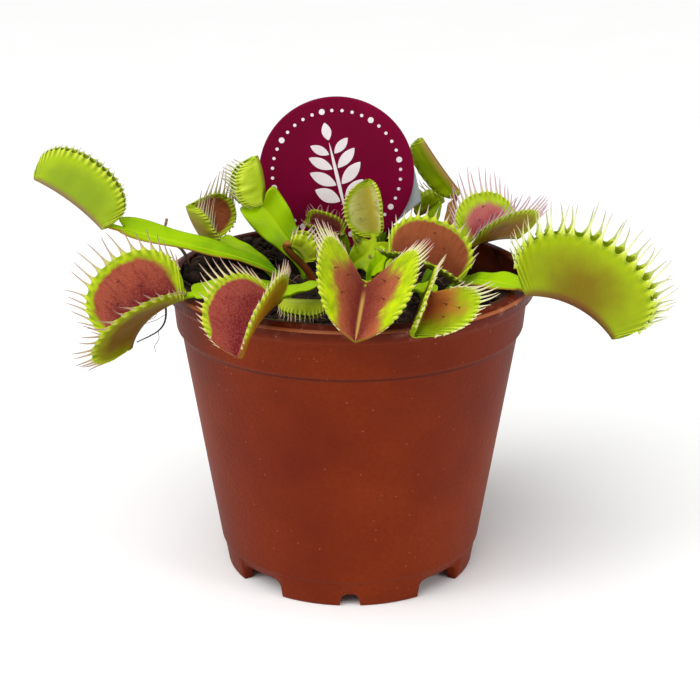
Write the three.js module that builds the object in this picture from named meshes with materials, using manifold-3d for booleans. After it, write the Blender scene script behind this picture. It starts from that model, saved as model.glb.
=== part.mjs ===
// Potted Venus flytrap: a crowd of snap-trap leaves in a 9 cm moulded nursery pot, with its round plant
// label. Millimetres, +Z up. The origin is on the pot's axis at the ground, and the front of the plant looks
// along -Y.
import * as THREE from "three";
import { mergeVertices } from "three/addons/utils/BufferGeometryUtils.js";
import Module from "manifold-3d";

const wasm = await Module();
wasm.setup();

// ---------- driving dimensions ----------

const CLEARANCE = 0.3; // gap between neighbouring pieces

// pot: outer radius and height of each ring that the profile turns at
const WALL = 1.2;
const FOOT_RADIUS = 30.8;
const CREASE = { radius: 32.4, z: 7, inset: 0.5, height: 0.6 }; // ledge where the feet meet the wall
const STEP = { below: 41.1, above: 42.3, z: 61.2, height: 1.4 }; // ledge under the upper band
const BAND_TOP = { radius: 43.0, z: 70.2 };
const LIP = { radius: 45.0, z: 71.2, top: 73.9, draft: 0.3 };
const RIM = { radius: 42.6, top: 75.2, thick: 1.4 }; // the top edge, which slopes up from the lip
const FLOOR = { z: 5.2, thick: 1.4 };
const FOOT_GAP = { top: 4.4, halfAngle: 12.2, corner: 2 }; // four gaps at 45 degrees to the front
const NOTCH = { width: 5, height: 3 }; // drain notch in the middle of each foot
const DRAIN = { radius: 2.5, ring: 19, sides: 10 };
const POT_SIDES = 56;
const CORNER_STEPS = 4; // segments in each rounded corner of a foot gap or notch

// soil
const SOIL_Z = 65.5;
const SOIL_SHRINK = 0.45; // gap between the soil and the wall of the pot
const SOIL_DOME = 2.2; // how much higher the soil stands in the middle
const SOIL_LUMP = 0.9;
const SOIL_RINGS = 7;
const SOIL_SIDES = 36;
const SOIL_BANK = { height: 9, from: 14, to: 41, azimuth: 150 }; // soil heaped against the rim
const HOLE = { depth: 4.5, radius: 1.9, sides: 8 };

// label
const LABEL = { x: -3.4, y: 25, z: 93.0, radius: 19.6, thick: 0.8, sides: 48 };
const LABEL_TILT = 13; // degrees that the label leans to the left
// stake: straight, shoulder and tip are depths below the centre of the disc, point is the length of its
// pointed end
const STAKE = {
  halfWidth: 19.4, thick: 0.8, straight: 12, shoulder: 20, stem: 9, tip: 58, point: 8, blunt: 0.6,
};

// leaves
const ROOT_RADIUS = 1.1; // half thickness of the petiole's foot, which stands in its hole
const COLLAR = 0.8; // how far the foot goes straight up out of the soil
const KEEL = 0.7; // how far the petiole's midrib stands out below
const STALK_WIDTH = 1.9; // bare stalk between blade and trap
const BLADE_THICK = 0.8;
const WING_SHARE = 0.6; // thickness of a wing's edge as a share of the middle's
const LOBE_THICK = 0.8;
const MIDRIB_THICK = 1.5;
const TOOTH_ROOT = 0.4; // radius of a tooth's three-sided root
const TOOTH_SUNK = 0.6; // how deep the root stands in the margin
const BLADE_STEPS = 8;
const MIDRIB_STEPS = 7;
const LOBE_STEPS = 3;

// Each leaf: base is where it leaves the soil, rise how high it climbs before it turns outward, blade and
// fold the full width and wing angle of its petiole, heart how far the shoulders of its wings reach past the
// middle, arrive the azimuth and elevation at which the petiole reaches the trap, lead how far ahead of it
// that direction is taken up, and face, where it isn't simply upward and inward, the azimuth and elevation
// that its upper side looks to. The trap starts at `at`; its midrib sets out at azimuth az and elevation el
// and bends away from the mouth by bend over its length long. roll turns the mouth about the midrib, wide is
// the width of a lobe, gape the angle between a lobe and the middle of the mouth, cup how far the lobe curls
// in over its width, and fan how far its ends splay along the midrib. Its teeth are tooth long, times fade at
// the far end, and lean towards that end by rake.
const LEAVES = [
  {
    name: "leaf_far_left", base: [-16, 5], rise: 8, blade: 9.5, fold: 24, heart: 8, arrive: [180, 18],
    lead: 22, face: [-95, 62], at: [-57.7, -8, 88.2], az: 180, el: 50, roll: -12, long: 20.4, wide: 11,
    bend: 25, gape: 4, cup: 24, fan: 14, teeth: 9, tooth: 1.2,
  },
  {
    name: "leaf_left", base: [-15, -4], rise: 8, blade: 8, fold: 15, heart: 1, arrive: [200, 0], lead: 12,
    face: [-100, 60], at: [-38, -25, 76.6], az: 183, el: -16, roll: -28, long: 22, wide: 15, bend: 65,
    gape: 39, cup: 10, fan: 12, teeth: 10, tooth: 6,
  },
  {
    name: "leaf_front_left", base: [-1, -8], rise: 8, blade: 7, fold: 12, heart: 1, arrive: [232, 0],
    lead: 12, at: [-15.8, -36.5, 79.8], az: 237, el: -6, roll: 9, long: 19.8, wide: 12, bend: 42, gape: 40,
    cup: 10, fan: 0, teeth: 10, tooth: 5.5, fade: 0.35,
  },
  {
    name: "leaf_front", base: [5, -11], rise: 7, blade: 8, fold: 20, heart: 1, arrive: [266, 5], lead: 10,
    at: [3.4, -33, 81.3], az: 266, el: -2, roll: -9, long: 19.4, wide: 17, bend: 38, gape: 38, cup: 0,
    fan: 12, teeth: 10, tooth: 5.5, fade: 0.2,
  },
  {
    name: "leaf_front_right", base: [12.4, -9], rise: 7, blade: 9, fold: 15, heart: 1, arrive: [275, 5],
    lead: 12, face: [-90, 50], at: [17.3, -38.5, 81.2], az: 250, el: -38, roll: -42, long: 11, wide: 16.5,
    bend: 10, gape: 20, cup: 0, fan: 3, teeth: 8, tooth: 6.5, fade: 0.3,
  },
  {
    name: "leaf_right", base: [24, 5], rise: 6, blade: 8, fold: 15, heart: 1, arrive: [-60, 5], lead: 14,
    face: [-120, 60], at: [40.5, -22, 76.8], az: -22, el: 10, roll: 6, long: 25, wide: 17.5, bend: 65,
    gape: 4, cup: 22, fan: 15, teeth: 11, tooth: 7,
  },
  {
    name: "leaf_middle_right", base: [5, 6], rise: 6, blade: 9, fold: 20, heart: 1, arrive: [-40, 50],
    lead: 6, face: [-100, 40], at: [9, -3, 80.2], az: -20, el: 1, roll: 20, long: 19, wide: 11, bend: 42,
    gape: 48, cup: 10, fan: 11, teeth: 10, tooth: 3, fade: 0.9,
  },
  {
    name: "leaf_right_rear", base: [18, 4], rise: 6, blade: 6, fold: 20, heart: 1, arrive: [35, 20],
    lead: 6, at: [29, 14, 77.2], az: 41, el: 11, roll: 9, long: 20, wide: 11.5, bend: 27, gape: 36, cup: 10,
    fan: 10, teeth: 10, tooth: 6.5, fade: 0.8,
  },
  {
    name: "leaf_tall_right", base: [24, 24], rise: 10, blade: 3.5, fold: 20, arrive: [60, 70], lead: 8,
    at: [27.5, 28, 86.8], az: 175, el: 51, roll: 145, long: 17.3, wide: 5.3, bend: 9, gape: 9, cup: 20,
    fan: 8, teeth: 6, tooth: 1,
  },
  {
    name: "leaf_egg", base: [0.5, 13.5], rise: 7, blade: 17, fold: 20, heart: 3, arrive: [60, 75], lead: 9,
    face: [-90, 10], at: [6.2, 15.5, 79], az: 165, el: 81, roll: -97, long: 14.4, wide: 7.4, bend: 10,
    gape: 40, cup: 50, fan: -8, teeth: 8, tooth: 1, fade: 3,
  },
  {
    name: "leaf_small_pink", base: [-1, 20.5], rise: 7, blade: 3, fold: 15, heart: 1, arrive: [150, 70],
    lead: 5, face: [-80, 25], at: [-1.6, 19, 78.9], az: 172, el: 19, roll: -54, long: 10, wide: 5, bend: 13,
    gape: 25, cup: 30, fan: 9, teeth: 7, tooth: 4,
  },
  {
    name: "leaf_left_rear", base: [-18.5, 10.5], rise: 6, blade: 7.5, fold: 10, arrive: [150, 10], lead: 7,
    face: [-95, 50], at: [-34.6, 14, 77.9], az: 180, el: 50, roll: -18, long: 11, wide: 10.5, bend: -30,
    gape: 44, cup: 30, fan: 15, teeth: 8, tooth: 1.2, fade: 7, rake: 1.4,
  },
  {
    name: "leaf_left_tall", base: [-11.5, 16], rise: 6, blade: 14.5, fold: 14, heart: 6, arrive: [135, 60],
    lead: 4, face: [-85, 25], at: [-22.5, 18.6, 86.5], az: 178, el: 94, roll: -150, long: 12.5, wide: 7.2,
    bend: -25, gape: 10, cup: 22, fan: 10, teeth: 7, tooth: 3, fade: 1.4, rake: 1,
  },
  {
    name: "leaf_young", base: [-9, 8], rise: 6, blade: 1.9, fold: 0, arrive: [10, 0], lead: 6,
    at: [-14.6, 4, 80.9], az: -5, el: -15, roll: 10, long: 7, wide: 4.2, bend: 60, gape: 15, cup: 40,
    fan: 5, teeth: 5, tooth: 3,
  },
  {
    name: "leaf_low_front", base: [-3, -14], rise: 3, blade: 5, fold: 10, arrive: [200, 5], lead: 3,
    at: [-5.5, -22.5, 73.6], az: 188, el: 0, roll: -128, long: 11, wide: 3.6, bend: 12, gape: 8, cup: 0,
    fan: 8, teeth: 8, tooth: 1.2, fade: 2,
  },
  {
    name: "leaf_right_back", base: [20, 32], rise: 8, blade: 5, fold: 15, heart: 1, arrive: [60, 60],
    lead: 5, at: [23.8, 36, 84], az: 180, el: -38, roll: 10, long: 7.8, wide: 3.8, bend: -15, gape: 12,
    cup: 35, fan: 10, teeth: 8, tooth: 3.2, rake: 0.3,
  },
  {
    name: "leaf_back_left", base: [-9, 31], rise: 7, blade: 7, fold: 15, heart: 1, arrive: [95, 5], lead: 6,
    at: [-12, 38.4, 80], az: 98, el: -4, roll: 8, long: 15.4, wide: 12, bend: 45, gape: 36, cup: 10,
    fan: 10, teeth: 9, tooth: 5, fade: 0.8,
  },
  {
    name: "leaf_back_right", base: [8, 32], rise: 6, blade: 7, fold: 15, heart: 1, arrive: [85, 0], lead: 6,
    at: [7, 38.4, 79.5], az: 84, el: -8, roll: -5, long: 14.8, wide: 12, bend: 50, gape: 30, cup: 15,
    fan: 10, teeth: 9, tooth: 5, fade: 0.8,
  },
];

// ---------- solids ----------

// A closed surface as a solid, whichever way its faces were wound.
function solidOf(positions, triangles) {
  const vertProperties = new Float32Array(positions.flat());
  let volume = 0;
  for (const [a, b, c] of triangles) {
    const [p, q, r] = [a, b, c].map((i) => new THREE.Vector3(...positions[i]));
    volume += p.dot(q.cross(r));
  }
  const wound = volume < 0 ? triangles.map(([a, b, c]) => [a, c, b]) : triangles;
  const triVerts = new Uint32Array(wound.flat());
  return new wasm.Manifold(new wasm.Mesh({ numProp: 3, vertProperties, triVerts }));
}

// A three.js geometry, moved by a matrix, as a solid.
function solidOfGeometry(geometry, matrix = new THREE.Matrix4()) {
  const bare = geometry.clone().applyMatrix4(matrix);
  bare.deleteAttribute("normal");
  bare.deleteAttribute("uv");
  const merged = mergeVertices(bare, 1e-4);
  const vertProperties = new Float32Array(merged.attributes.position.array);
  const triVerts = new Uint32Array(merged.index.array);
  return new wasm.Manifold(new wasm.Mesh({ numProp: 3, vertProperties, triVerts }));
}

function geometryOf(solid) {
  const { vertProperties, triVerts, numProp, numVert } = solid.getMesh();
  const position = new Float32Array(numVert * 3);
  for (let i = 0; i < numVert; i++) {
    position.set(vertProperties.subarray(i * numProp, i * numProp + 3), i * 3);
  }
  const geometry = new THREE.BufferGeometry();
  geometry.setAttribute("position", new THREE.BufferAttribute(position, 3));
  geometry.setIndex(new THREE.BufferAttribute(new Uint32Array(triVerts), 1));
  geometry.computeVertexNormals();
  return geometry;
}

// Seeded draw between 0 and 1, for teeth and lumps that differ a little from one to the next.
function drawsFrom(seed) {
  let state = seed;
  return () => {
    state = (state * 1664525 + 1013904223) % 4294967296;
    return state / 4294967296;
  };
}

const radians = THREE.MathUtils.degToRad;

// Unit vector at an azimuth (from +X towards +Y) and an elevation, both in degrees.
function towards([azimuth, elevation]) {
  const [a, e] = [azimuth, elevation].map(radians);
  return new THREE.Vector3(Math.cos(e) * Math.cos(a), Math.cos(e) * Math.sin(a), Math.sin(e));
}

// ---------- pot ----------

const innerWallRadius = (z) => {
  const lower = (z - CREASE.z) / (STEP.z - CREASE.z);
  const upper = (z - STEP.z - STEP.height) / (BAND_TOP.z - STEP.z - STEP.height);
  const outer =
    z < STEP.z
      ? CREASE.radius + lower * (STEP.below - CREASE.radius)
      : STEP.above + Math.max(upper, 0) * (BAND_TOP.radius - STEP.above);
  return outer - WALL;
};

function potSolid() {
  const floorTop = FLOOR.z + FLOOR.thick;
  const stepTop = STEP.z + STEP.height;
  const profile = [
    [0, FLOOR.z],
    [FOOT_RADIUS - 2 * WALL, FLOOR.z],
    [FOOT_RADIUS - 2 * WALL, 0],
    [FOOT_RADIUS, 0],
    [CREASE.radius - CREASE.inset, CREASE.z - CREASE.height],
    [CREASE.radius, CREASE.z],
    [STEP.below, STEP.z],
    [STEP.above, stepTop],
    [BAND_TOP.radius, BAND_TOP.z],
    [LIP.radius - LIP.draft, LIP.z],
    [LIP.radius, LIP.top],
    [RIM.radius, RIM.top],
    [RIM.radius - RIM.thick, RIM.top],
    [BAND_TOP.radius - WALL, BAND_TOP.z],
    [STEP.above - WALL, stepTop],
    [STEP.below - WALL, STEP.z],
    [innerWallRadius(floorTop), floorTop],
    [0, floorTop],
  ].map(([radius, z]) => new THREE.Vector2(radius, z));
  const upright = new THREE.Matrix4().makeRotationX(Math.PI / 2);
  let pot = solidOfGeometry(new THREE.LatheGeometry(profile, POT_SIDES), upright);

  // An opening in the foot ring: an arch from below the ground, cut from the pot's axis out past the ring.
  const reach = CREASE.radius + WALL;
  const archShape = (half, top, corner) => {
    const arch = new THREE.Shape();
    arch.moveTo(-half, -WALL);
    arch.lineTo(half, -WALL);
    arch.absarc(half - corner, top - corner, corner, 0, Math.PI / 2, false);
    arch.absarc(corner - half, top - corner, corner, Math.PI / 2, Math.PI, false);
    return arch;
  };
  const gapHalf = CREASE.radius * Math.tan(radians(FOOT_GAP.halfAngle));
  const gap = archShape(gapHalf, FOOT_GAP.top, FOOT_GAP.corner);
  const notch = archShape(NOTCH.width / 2, NOTCH.height, NOTCH.width / 2);
  for (let quarter = 0; quarter < 4; quarter++) {
    const cuts = [
      [gap, quarter * 90 + 45],
      [notch, quarter * 90],
    ];
    for (const [shape, azimuth] of cuts) {
      const extrusion = { depth: reach, bevelEnabled: false, curveSegments: CORNER_STEPS };
      const turn = new THREE.Matrix4().makeRotationZ(radians(azimuth));
      pot = pot.subtract(solidOfGeometry(new THREE.ExtrudeGeometry(shape, extrusion), turn.multiply(upright)));
    }
    const drain = new THREE.CylinderGeometry(DRAIN.radius, DRAIN.radius, 4 * FLOOR.thick, DRAIN.sides);
    const angle = radians(quarter * 90 + 45);
    const place = new THREE.Matrix4()
      .makeTranslation(DRAIN.ring * Math.cos(angle), DRAIN.ring * Math.sin(angle), FLOOR.z)
      .multiply(upright);
    pot = pot.subtract(solidOfGeometry(drain, place));
  }
  return pot;
}

// ---------- soil ----------

// Height of the soil: a low dome with lumps, banked up against the wall on one side.
function soilHeight(x, y) {
  const uphill = towards([SOIL_BANK.azimuth, 0]);
  const bank = THREE.MathUtils.smoothstep(x * uphill.x + y * uphill.y, SOIL_BANK.from, SOIL_BANK.to);
  const share = Math.min(Math.hypot(x, y) / 40, 1);
  const lumps =
    Math.sin(0.55 * x + 1.3) * Math.cos(0.48 * y + 0.4) +
    0.7 * Math.sin(0.9 * y - 0.35 * x + 2.1) +
    0.5 * Math.cos(1.15 * x + 0.6 * y);
  const calm = Math.min(1, 3 * (1 - share) + 0.35); // smaller lumps near the wall
  return SOIL_Z + SOIL_BANK.height * bank + SOIL_DOME * (1 - share * share) + SOIL_LUMP * calm * lumps;
}

function soilSolid() {
  const floorTop = FLOOR.z + FLOOR.thick + CLEARANCE;
  const edge = (z) => innerWallRadius(z) - SOIL_SHRINK;
  const stepTop = STEP.z + STEP.height;
  const below = [
    [edge(floorTop), floorTop],
    [STEP.below - WALL - SOIL_SHRINK, STEP.z],
    [edge(stepTop), stepTop + CLEARANCE],
  ];
  const positions = [[0, 0, floorTop]];
  const triangles = [];
  const ring = (radius, height) => {
    const first = positions.length;
    for (let i = 0; i < SOIL_SIDES; i++) {
      const angle = (2 * Math.PI * i) / SOIL_SIDES;
      const [x, y] = [radius * Math.cos(angle), radius * Math.sin(angle)];
      positions.push([x, y, height === null ? soilHeight(x, y) : height]);
    }
    return first;
  };
  const rings = below.map(([radius, z]) => ring(radius, z));
  for (let i = SOIL_RINGS; i > 0; i--) {
    rings.push(ring((edge(SOIL_Z) * i) / SOIL_RINGS, null));
  }
  const next = (first, i) => first + ((i + 1) % SOIL_SIDES);
  for (let i = 0; i < SOIL_SIDES; i++) triangles.push([0, next(rings[0], i), rings[0] + i]);
  for (let k = 0; k + 1 < rings.length; k++) {
    for (let i = 0; i < SOIL_SIDES; i++) {
      const [a, b, c, d] = [rings[k] + i, next(rings[k], i), next(rings[k + 1], i), rings[k + 1] + i];
      triangles.push([a, b, c], [a, c, d]);
    }
  }
  const last = rings[rings.length - 1];
  const peak = positions.push([0, 0, soilHeight(0, 0)]) - 1;
  for (let i = 0; i < SOIL_SIDES; i++) triangles.push([last + i, next(last, i), peak]);
  let soil = solidOf(positions, triangles);

  // plain holes for the leaves, and a slot for the label's stake
  for (const { base } of LEAVES) {
    const bore = new THREE.CylinderGeometry(HOLE.radius, HOLE.radius, 2 * HOLE.depth, HOLE.sides);
    const place = new THREE.Matrix4()
      .makeTranslation(base[0], base[1], soilHeight(...base))
      .multiply(new THREE.Matrix4().makeRotationX(Math.PI / 2));
    soil = soil.subtract(solidOfGeometry(bore, place));
  }
  const { stem, tip, thick } = STAKE;
  const grown = 2 * CLEARANCE;
  const slot = new THREE.BoxGeometry(stem + grown, tip + grown, thick + grown);
  const middle = new THREE.Matrix4().makeTranslation(0, -tip / 2, -thick / 2);
  return soil.subtract(solidOfGeometry(slot, onLabel(LABEL.y + LABEL.thick / 2 + CLEARANCE).multiply(middle)));
}

// ---------- label ----------

function labelDiscSolid() {
  const disc = new THREE.CylinderGeometry(LABEL.radius, LABEL.radius, LABEL.thick, LABEL.sides);
  return solidOfGeometry(disc, new THREE.Matrix4().makeTranslation(LABEL.x, LABEL.y, LABEL.z));
}

// Places a plate that was drawn about the disc's centre, with its front face at depth y.
const onLabel = (y) =>
  new THREE.Matrix4()
    .makeTranslation(LABEL.x, y, LABEL.z)
    .multiply(new THREE.Matrix4().makeRotationY(radians(-LABEL_TILT)))
    .multiply(new THREE.Matrix4().makeRotationX(Math.PI / 2));

// The stake: a round-topped tab behind the disc, narrowing to a pointed blade in the soil.
function labelStakeSolid() {
  const { halfWidth, straight, shoulder, stem, tip, point, blunt, thick } = STAKE;
  const shape = new THREE.Shape();
  shape.moveTo(halfWidth, 0);
  shape.absarc(0, 0, halfWidth, 0, Math.PI, false);
  shape.lineTo(-halfWidth, -straight);
  shape.lineTo(-stem / 2, -shoulder);
  shape.lineTo(-stem / 2, point - tip);
  shape.lineTo(-blunt, -tip);
  shape.lineTo(blunt, -tip);
  shape.lineTo(stem / 2, point - tip);
  shape.lineTo(stem / 2, -shoulder);
  shape.lineTo(halfWidth, -straight);
  const plate = new THREE.ExtrudeGeometry(shape, { depth: thick, bevelEnabled: false, curveSegments: 16 });
  return solidOfGeometry(plate, onLabel(LABEL.y + LABEL.thick / 2 + CLEARANCE + thick));
}

// ---------- leaves ----------

// Directions at the start of a trap: along the midrib, into the mouth, and to the right-hand lobe.
function trapFrame({ az, el, roll }) {
  const along = towards([az, el]);
  const level = towards([az - 90, 0]);
  const up = new THREE.Vector3().crossVectors(level, along);
  const mouth = up.multiplyScalar(Math.cos(radians(roll))).addScaledVector(level, Math.sin(radians(roll)));
  const side = new THREE.Vector3().crossVectors(along, mouth);
  return { along, mouth, side };
}

// Point of the midrib at share t of its length, with the directions there: an arc that bends from the mouth.
function midribAt(leaf, t) {
  const { along, mouth, side } = trapFrame(leaf);
  const bend = radians(leaf.bend);
  const turn = bend * t;
  const radius = leaf.long / bend;
  const point = new THREE.Vector3(...leaf.at)
    .addScaledVector(along, radius * Math.sin(turn))
    .addScaledVector(mouth, -radius * (1 - Math.cos(turn)));
  const ahead = along.clone().multiplyScalar(Math.cos(turn)).addScaledVector(mouth, -Math.sin(turn));
  const open = mouth.clone().multiplyScalar(Math.cos(turn)).addScaledVector(along, Math.sin(turn));
  return { point, ahead, open, side };
}

// Width of a lobe at share t of the midrib: a blunt half-moon.
const lobeWidth = (leaf, t) => leaf.wide * (0.1 + 0.9 * Math.sqrt(Math.max(0, 1 - Math.abs(2 * t - 1) ** 2.4)));

// Point of a lobe's inner face: t along the midrib, v from -1 at the left margin to 1 at the right one. The
// lobe leaves the midrib at an angle to the mouth's middle and curls in evenly over its width.
function lobeAt(leaf, t, v) {
  const { point, ahead, open, side } = midribAt(leaf, t);
  const share = Math.abs(v);
  const width = lobeWidth(leaf, t);
  const splay = radians(leaf.fan) * (2 * t - 1);
  const gape = radians(leaf.gape);
  const cup = radians(leaf.cup);
  const start = gape + cup / 2;
  let inward = Math.cos(gape) * share;
  let outward = Math.sin(gape) * share;
  if (cup !== 0) {
    inward = (Math.sin(start) - Math.sin(start - cup * share)) / cup;
    outward = (Math.cos(start - cup * share) - Math.cos(start)) / cup;
  }
  return point
    .clone()
    .addScaledVector(open, width * Math.cos(splay) * inward)
    .addScaledVector(side, width * Math.cos(splay) * outward * Math.sign(v))
    .addScaledVector(ahead, width * Math.sin(splay) * share);
}

// Outward normal of a lobe, away from the mouth.
function lobeNormal(leaf, t, v) {
  const step = 0.02;
  const across = lobeAt(leaf, t, Math.min(v + step, 1)).sub(lobeAt(leaf, t, Math.max(v - step, -1)));
  return new THREE.Vector3().crossVectors(midribAt(leaf, t).ahead, across).normalize();
}

// Share of the midrib at each row of a trap's grid, closer together towards the ends, where the width
// changes.
const rowShare = (row) => 0.5 - 0.5 * Math.cos((Math.PI * row) / MIDRIB_STEPS);

// Both lobes as one thick shell: a grid on the inner face, its copy pushed outward, and the rim between them.
function trapSolid(leaf) {
  const rows = MIDRIB_STEPS;
  const columns = 2 * LOBE_STEPS;
  const inner = [];
  const outer = [];
  for (let i = 0; i <= rows; i++) {
    for (let j = 0; j <= columns; j++) {
      const t = rowShare(i);
      const v = j / LOBE_STEPS - 1;
      const point = lobeAt(leaf, t, v);
      inner.push(point.toArray());
      outer.push(point.addScaledVector(lobeNormal(leaf, t, v), v === 0 ? MIDRIB_THICK : LOBE_THICK).toArray());
    }
  }
  const positions = [...inner, ...outer];
  const shift = inner.length;
  const at = (i, j) => i * (columns + 1) + j;
  const triangles = [];
  for (let i = 0; i < rows; i++) {
    for (let j = 0; j < columns; j++) {
      const [a, b, c, d] = [at(i, j), at(i + 1, j), at(i + 1, j + 1), at(i, j + 1)];
      triangles.push([a, b, c], [a, c, d]);
      triangles.push([a + shift, c + shift, b + shift], [a + shift, d + shift, c + shift]);
    }
  }
  const border = [];
  for (let i = 0; i < rows; i++) border.push(at(i, 0));
  for (let j = 0; j < columns; j++) border.push(at(rows, j));
  for (let i = rows; i > 0; i--) border.push(at(i, columns));
  for (let j = columns; j > 0; j--) border.push(at(0, j));
  border.forEach((a, k) => {
    const b = border[(k + 1) % border.length];
    triangles.push([b, a, a + shift], [b, a + shift, b + shift]);
  });
  return solidOf(positions, triangles);
}

// A tooth: a slim three-sided pyramid from root to tip.
function toothSolid(root, direction, length) {
  const aside = new THREE.Vector3(0.3, 0.5, 0.8).cross(direction).normalize();
  const other = new THREE.Vector3().crossVectors(direction, aside);
  const positions = [0, 1, 2].map((corner) => {
    const angle = (2 * Math.PI * corner) / 3;
    return root
      .clone()
      .addScaledVector(aside, TOOTH_ROOT * Math.cos(angle))
      .addScaledVector(other, TOOTH_ROOT * Math.sin(angle))
      .toArray();
  });
  positions.push(root.clone().addScaledVector(direction, length).toArray());
  return solidOf(positions, [[0, 2, 1], [0, 1, 3], [1, 2, 3], [2, 0, 3]]);
}

// The teeth of both lobes stand on the margins in the lobes' own planes, longest in the middle.
function teethSolids(leaf, seed) {
  const draw = drawsFrom(seed);
  const teeth = [];
  for (const sign of [-1, 1]) {
    for (let k = 0; k < leaf.teeth; k++) {
      const place = (k + (sign > 0 ? 0.6 : 0.35) + 0.3 * (draw() - 0.5)) / leaf.teeth;
      const along = 0.6 + (MIDRIB_STEPS - 1.2) * place;
      const row = Math.floor(along);
      const onMargin = (v) =>
        lobeAt(leaf, rowShare(row), v).lerp(lobeAt(leaf, rowShare(row + 1), v), along - row);
      const t = rowShare(along);
      const margin = onMargin(sign);
      const direction = margin.clone().sub(onMargin(0.85 * sign)).normalize();
      direction.addScaledVector(midribAt(leaf, t).ahead, leaf.rake ?? 0).normalize();
      const faded = 1 + ((leaf.fade ?? 1) - 1) * THREE.MathUtils.smoothstep(t, 0.35, 0.62);
      const length = leaf.tooth * faded * (0.55 + 0.45 * Math.sin(Math.PI * t)) * (0.85 + 0.3 * draw());
      const root = margin.addScaledVector(direction, -TOOTH_SUNK);
      root.addScaledVector(lobeNormal(leaf, t, sign), LOBE_THICK / 2);
      teeth.push(toothSolid(root, direction, length + TOOTH_SUNK));
    }
  }
  return teeth;
}

// The petiole's middle line above the soil: up, over, and into the trap along its arriving direction.
function petioleCurve(leaf) {
  const start = new THREE.Vector3(...leaf.base, soilHeight(...leaf.base) + COLLAR);
  const end = new THREE.Vector3(...leaf.at).addScaledVector(trapFrame(leaf).along, 0.8);
  const climb = start.clone().setZ(start.z + leaf.rise);
  const turn = end.clone().addScaledVector(towards(leaf.arrive), -leaf.lead);
  return new THREE.CubicBezierCurve3(start, climb, turn, end);
}

// Width of the petiole's blade at share s, from 0 at its foot, widening outward, to 0 past its square
// shoulders.
function bladeShape(s) {
  const grown = Math.max(0, (s - 0.05) / 0.87);
  return s < 0.92 ? grown ** 1.3 * Math.sqrt(Math.max(0, 1 - grown ** 7)) * 1.12 : 0;
}

function petioleSolid(leaf) {
  const curve = petioleCurve(leaf);
  const { mouth } = trapFrame(leaf);
  const outward = new THREE.Vector3(leaf.at[0] - leaf.base[0], leaf.at[1] - leaf.base[1], 0).normalize();
  const looks = leaf.face ? towards(leaf.face) : new THREE.Vector3(0, 0, 1).addScaledVector(outward, -0.8);
  const positions = [];
  const triangles = [];
  for (let i = -1; i <= BLADE_STEPS; i++) {
    const s = Math.max(i, 0) / BLADE_STEPS; // the first section is the straight foot's, in its hole
    const centre = curve.getPoint(s);
    if (i < 0) centre.z -= COLLAR + HOLE.depth - CLEARANCE;
    const tangent = curve.getTangent(s);
    const turn = THREE.MathUtils.smoothstep(s, 0.8, 1);
    const upper = looks.clone().lerp(mouth, turn);
    upper.addScaledVector(tangent, -upper.dot(tangent)).normalize();
    const right = new THREE.Vector3().crossVectors(tangent, upper);
    const shape = bladeShape(s);
    const half = (STALK_WIDTH + (leaf.blade - STALK_WIDTH) * shape) / 2;
    const forward = (leaf.heart ?? 0) * THREE.MathUtils.smoothstep(s, 0.55, 0.92) * shape;
    const fold = radians(leaf.fold) * Math.min(1, half / 2.5);
    const thick = THREE.MathUtils.lerp(ROOT_RADIUS, BLADE_THICK / 2, THREE.MathUtils.smoothstep(s, 0.02, 0.25));
    const keel = Math.max(thick, KEEL);
    const spread = half * Math.cos(fold);
    const lift = half * Math.sin(fold);
    const edge = thick * WING_SHARE;
    const section = [
      [-spread, lift + edge],
      [0, thick],
      [spread, lift + edge],
      [spread, lift - edge],
      [0, -keel],
      [-spread, lift - edge],
    ];
    for (const [across, height] of section) {
      const corner = centre.clone().addScaledVector(right, across).addScaledVector(upper, height);
      if (across !== 0) corner.addScaledVector(tangent, forward);
      positions.push(corner.toArray());
    }
  }
  const sides = 6;
  for (let i = 0; i <= BLADE_STEPS; i++) {
    for (let j = 0; j < sides; j++) {
      const k = (j + 1) % sides;
      const [a, b, c, d] = [i * sides + j, i * sides + k, (i + 1) * sides + k, (i + 1) * sides + j];
      triangles.push([a, b, c], [a, c, d]);
    }
  }
  const last = (BLADE_STEPS + 1) * sides;
  for (const [first, flip] of [[0, true], [last, false]]) {
    for (const [a, b, c] of [[0, 1, 5], [1, 4, 5], [1, 2, 4], [2, 3, 4]]) {
      triangles.push(flip ? [first + a, first + c, first + b] : [first + a, first + b, first + c]);
    }
  }
  return solidOf(positions, triangles);
}

function leafSolid(leaf, seed) {
  return wasm.Manifold.union([petioleSolid(leaf), trapSolid(leaf), ...teethSolids(leaf, seed)]);
}

// ---------- materials and assembly ----------

const MATERIALS = {
  terracotta_plastic: new THREE.MeshStandardMaterial({ color: "#8d3c20", roughness: 0.55, metalness: 0 }),
  peat: new THREE.MeshStandardMaterial({ color: "#1d1712", roughness: 1, metalness: 0 }),
  label_print: new THREE.MeshStandardMaterial({ color: "#74083a", roughness: 0.5, metalness: 0 }),
  stake_plastic: new THREE.MeshStandardMaterial({ color: "#c3c8cc", roughness: 0.35, metalness: 0 }),
  leaf_green: new THREE.MeshStandardMaterial({ color: "#9ccb16", roughness: 0.45, metalness: 0 }),
};

const plant = new THREE.Group();

function place(name, solid, material) {
  const mesh = new THREE.Mesh(geometryOf(solid), MATERIALS[material]);
  mesh.name = name;
  plant.add(mesh);
}

place("pot", potSolid(), "terracotta_plastic");
place("soil", soilSolid(), "peat");
place("label_disc", labelDiscSolid(), "label_print");
place("label_stake", labelStakeSolid(), "stake_plastic");
LEAVES.forEach((leaf, index) => place(leaf.name, leafSolid(leaf, 101 + 17 * index), "leaf_green"));

export default plant;
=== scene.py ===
"""Looks of a potted Venus flytrap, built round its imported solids.

Formulas are in millimetres and become metres where a mesh is made. +Z is up, the origin is on the pot's axis
at the ground, and the plant is seen from -Y.
"""
import math

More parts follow.
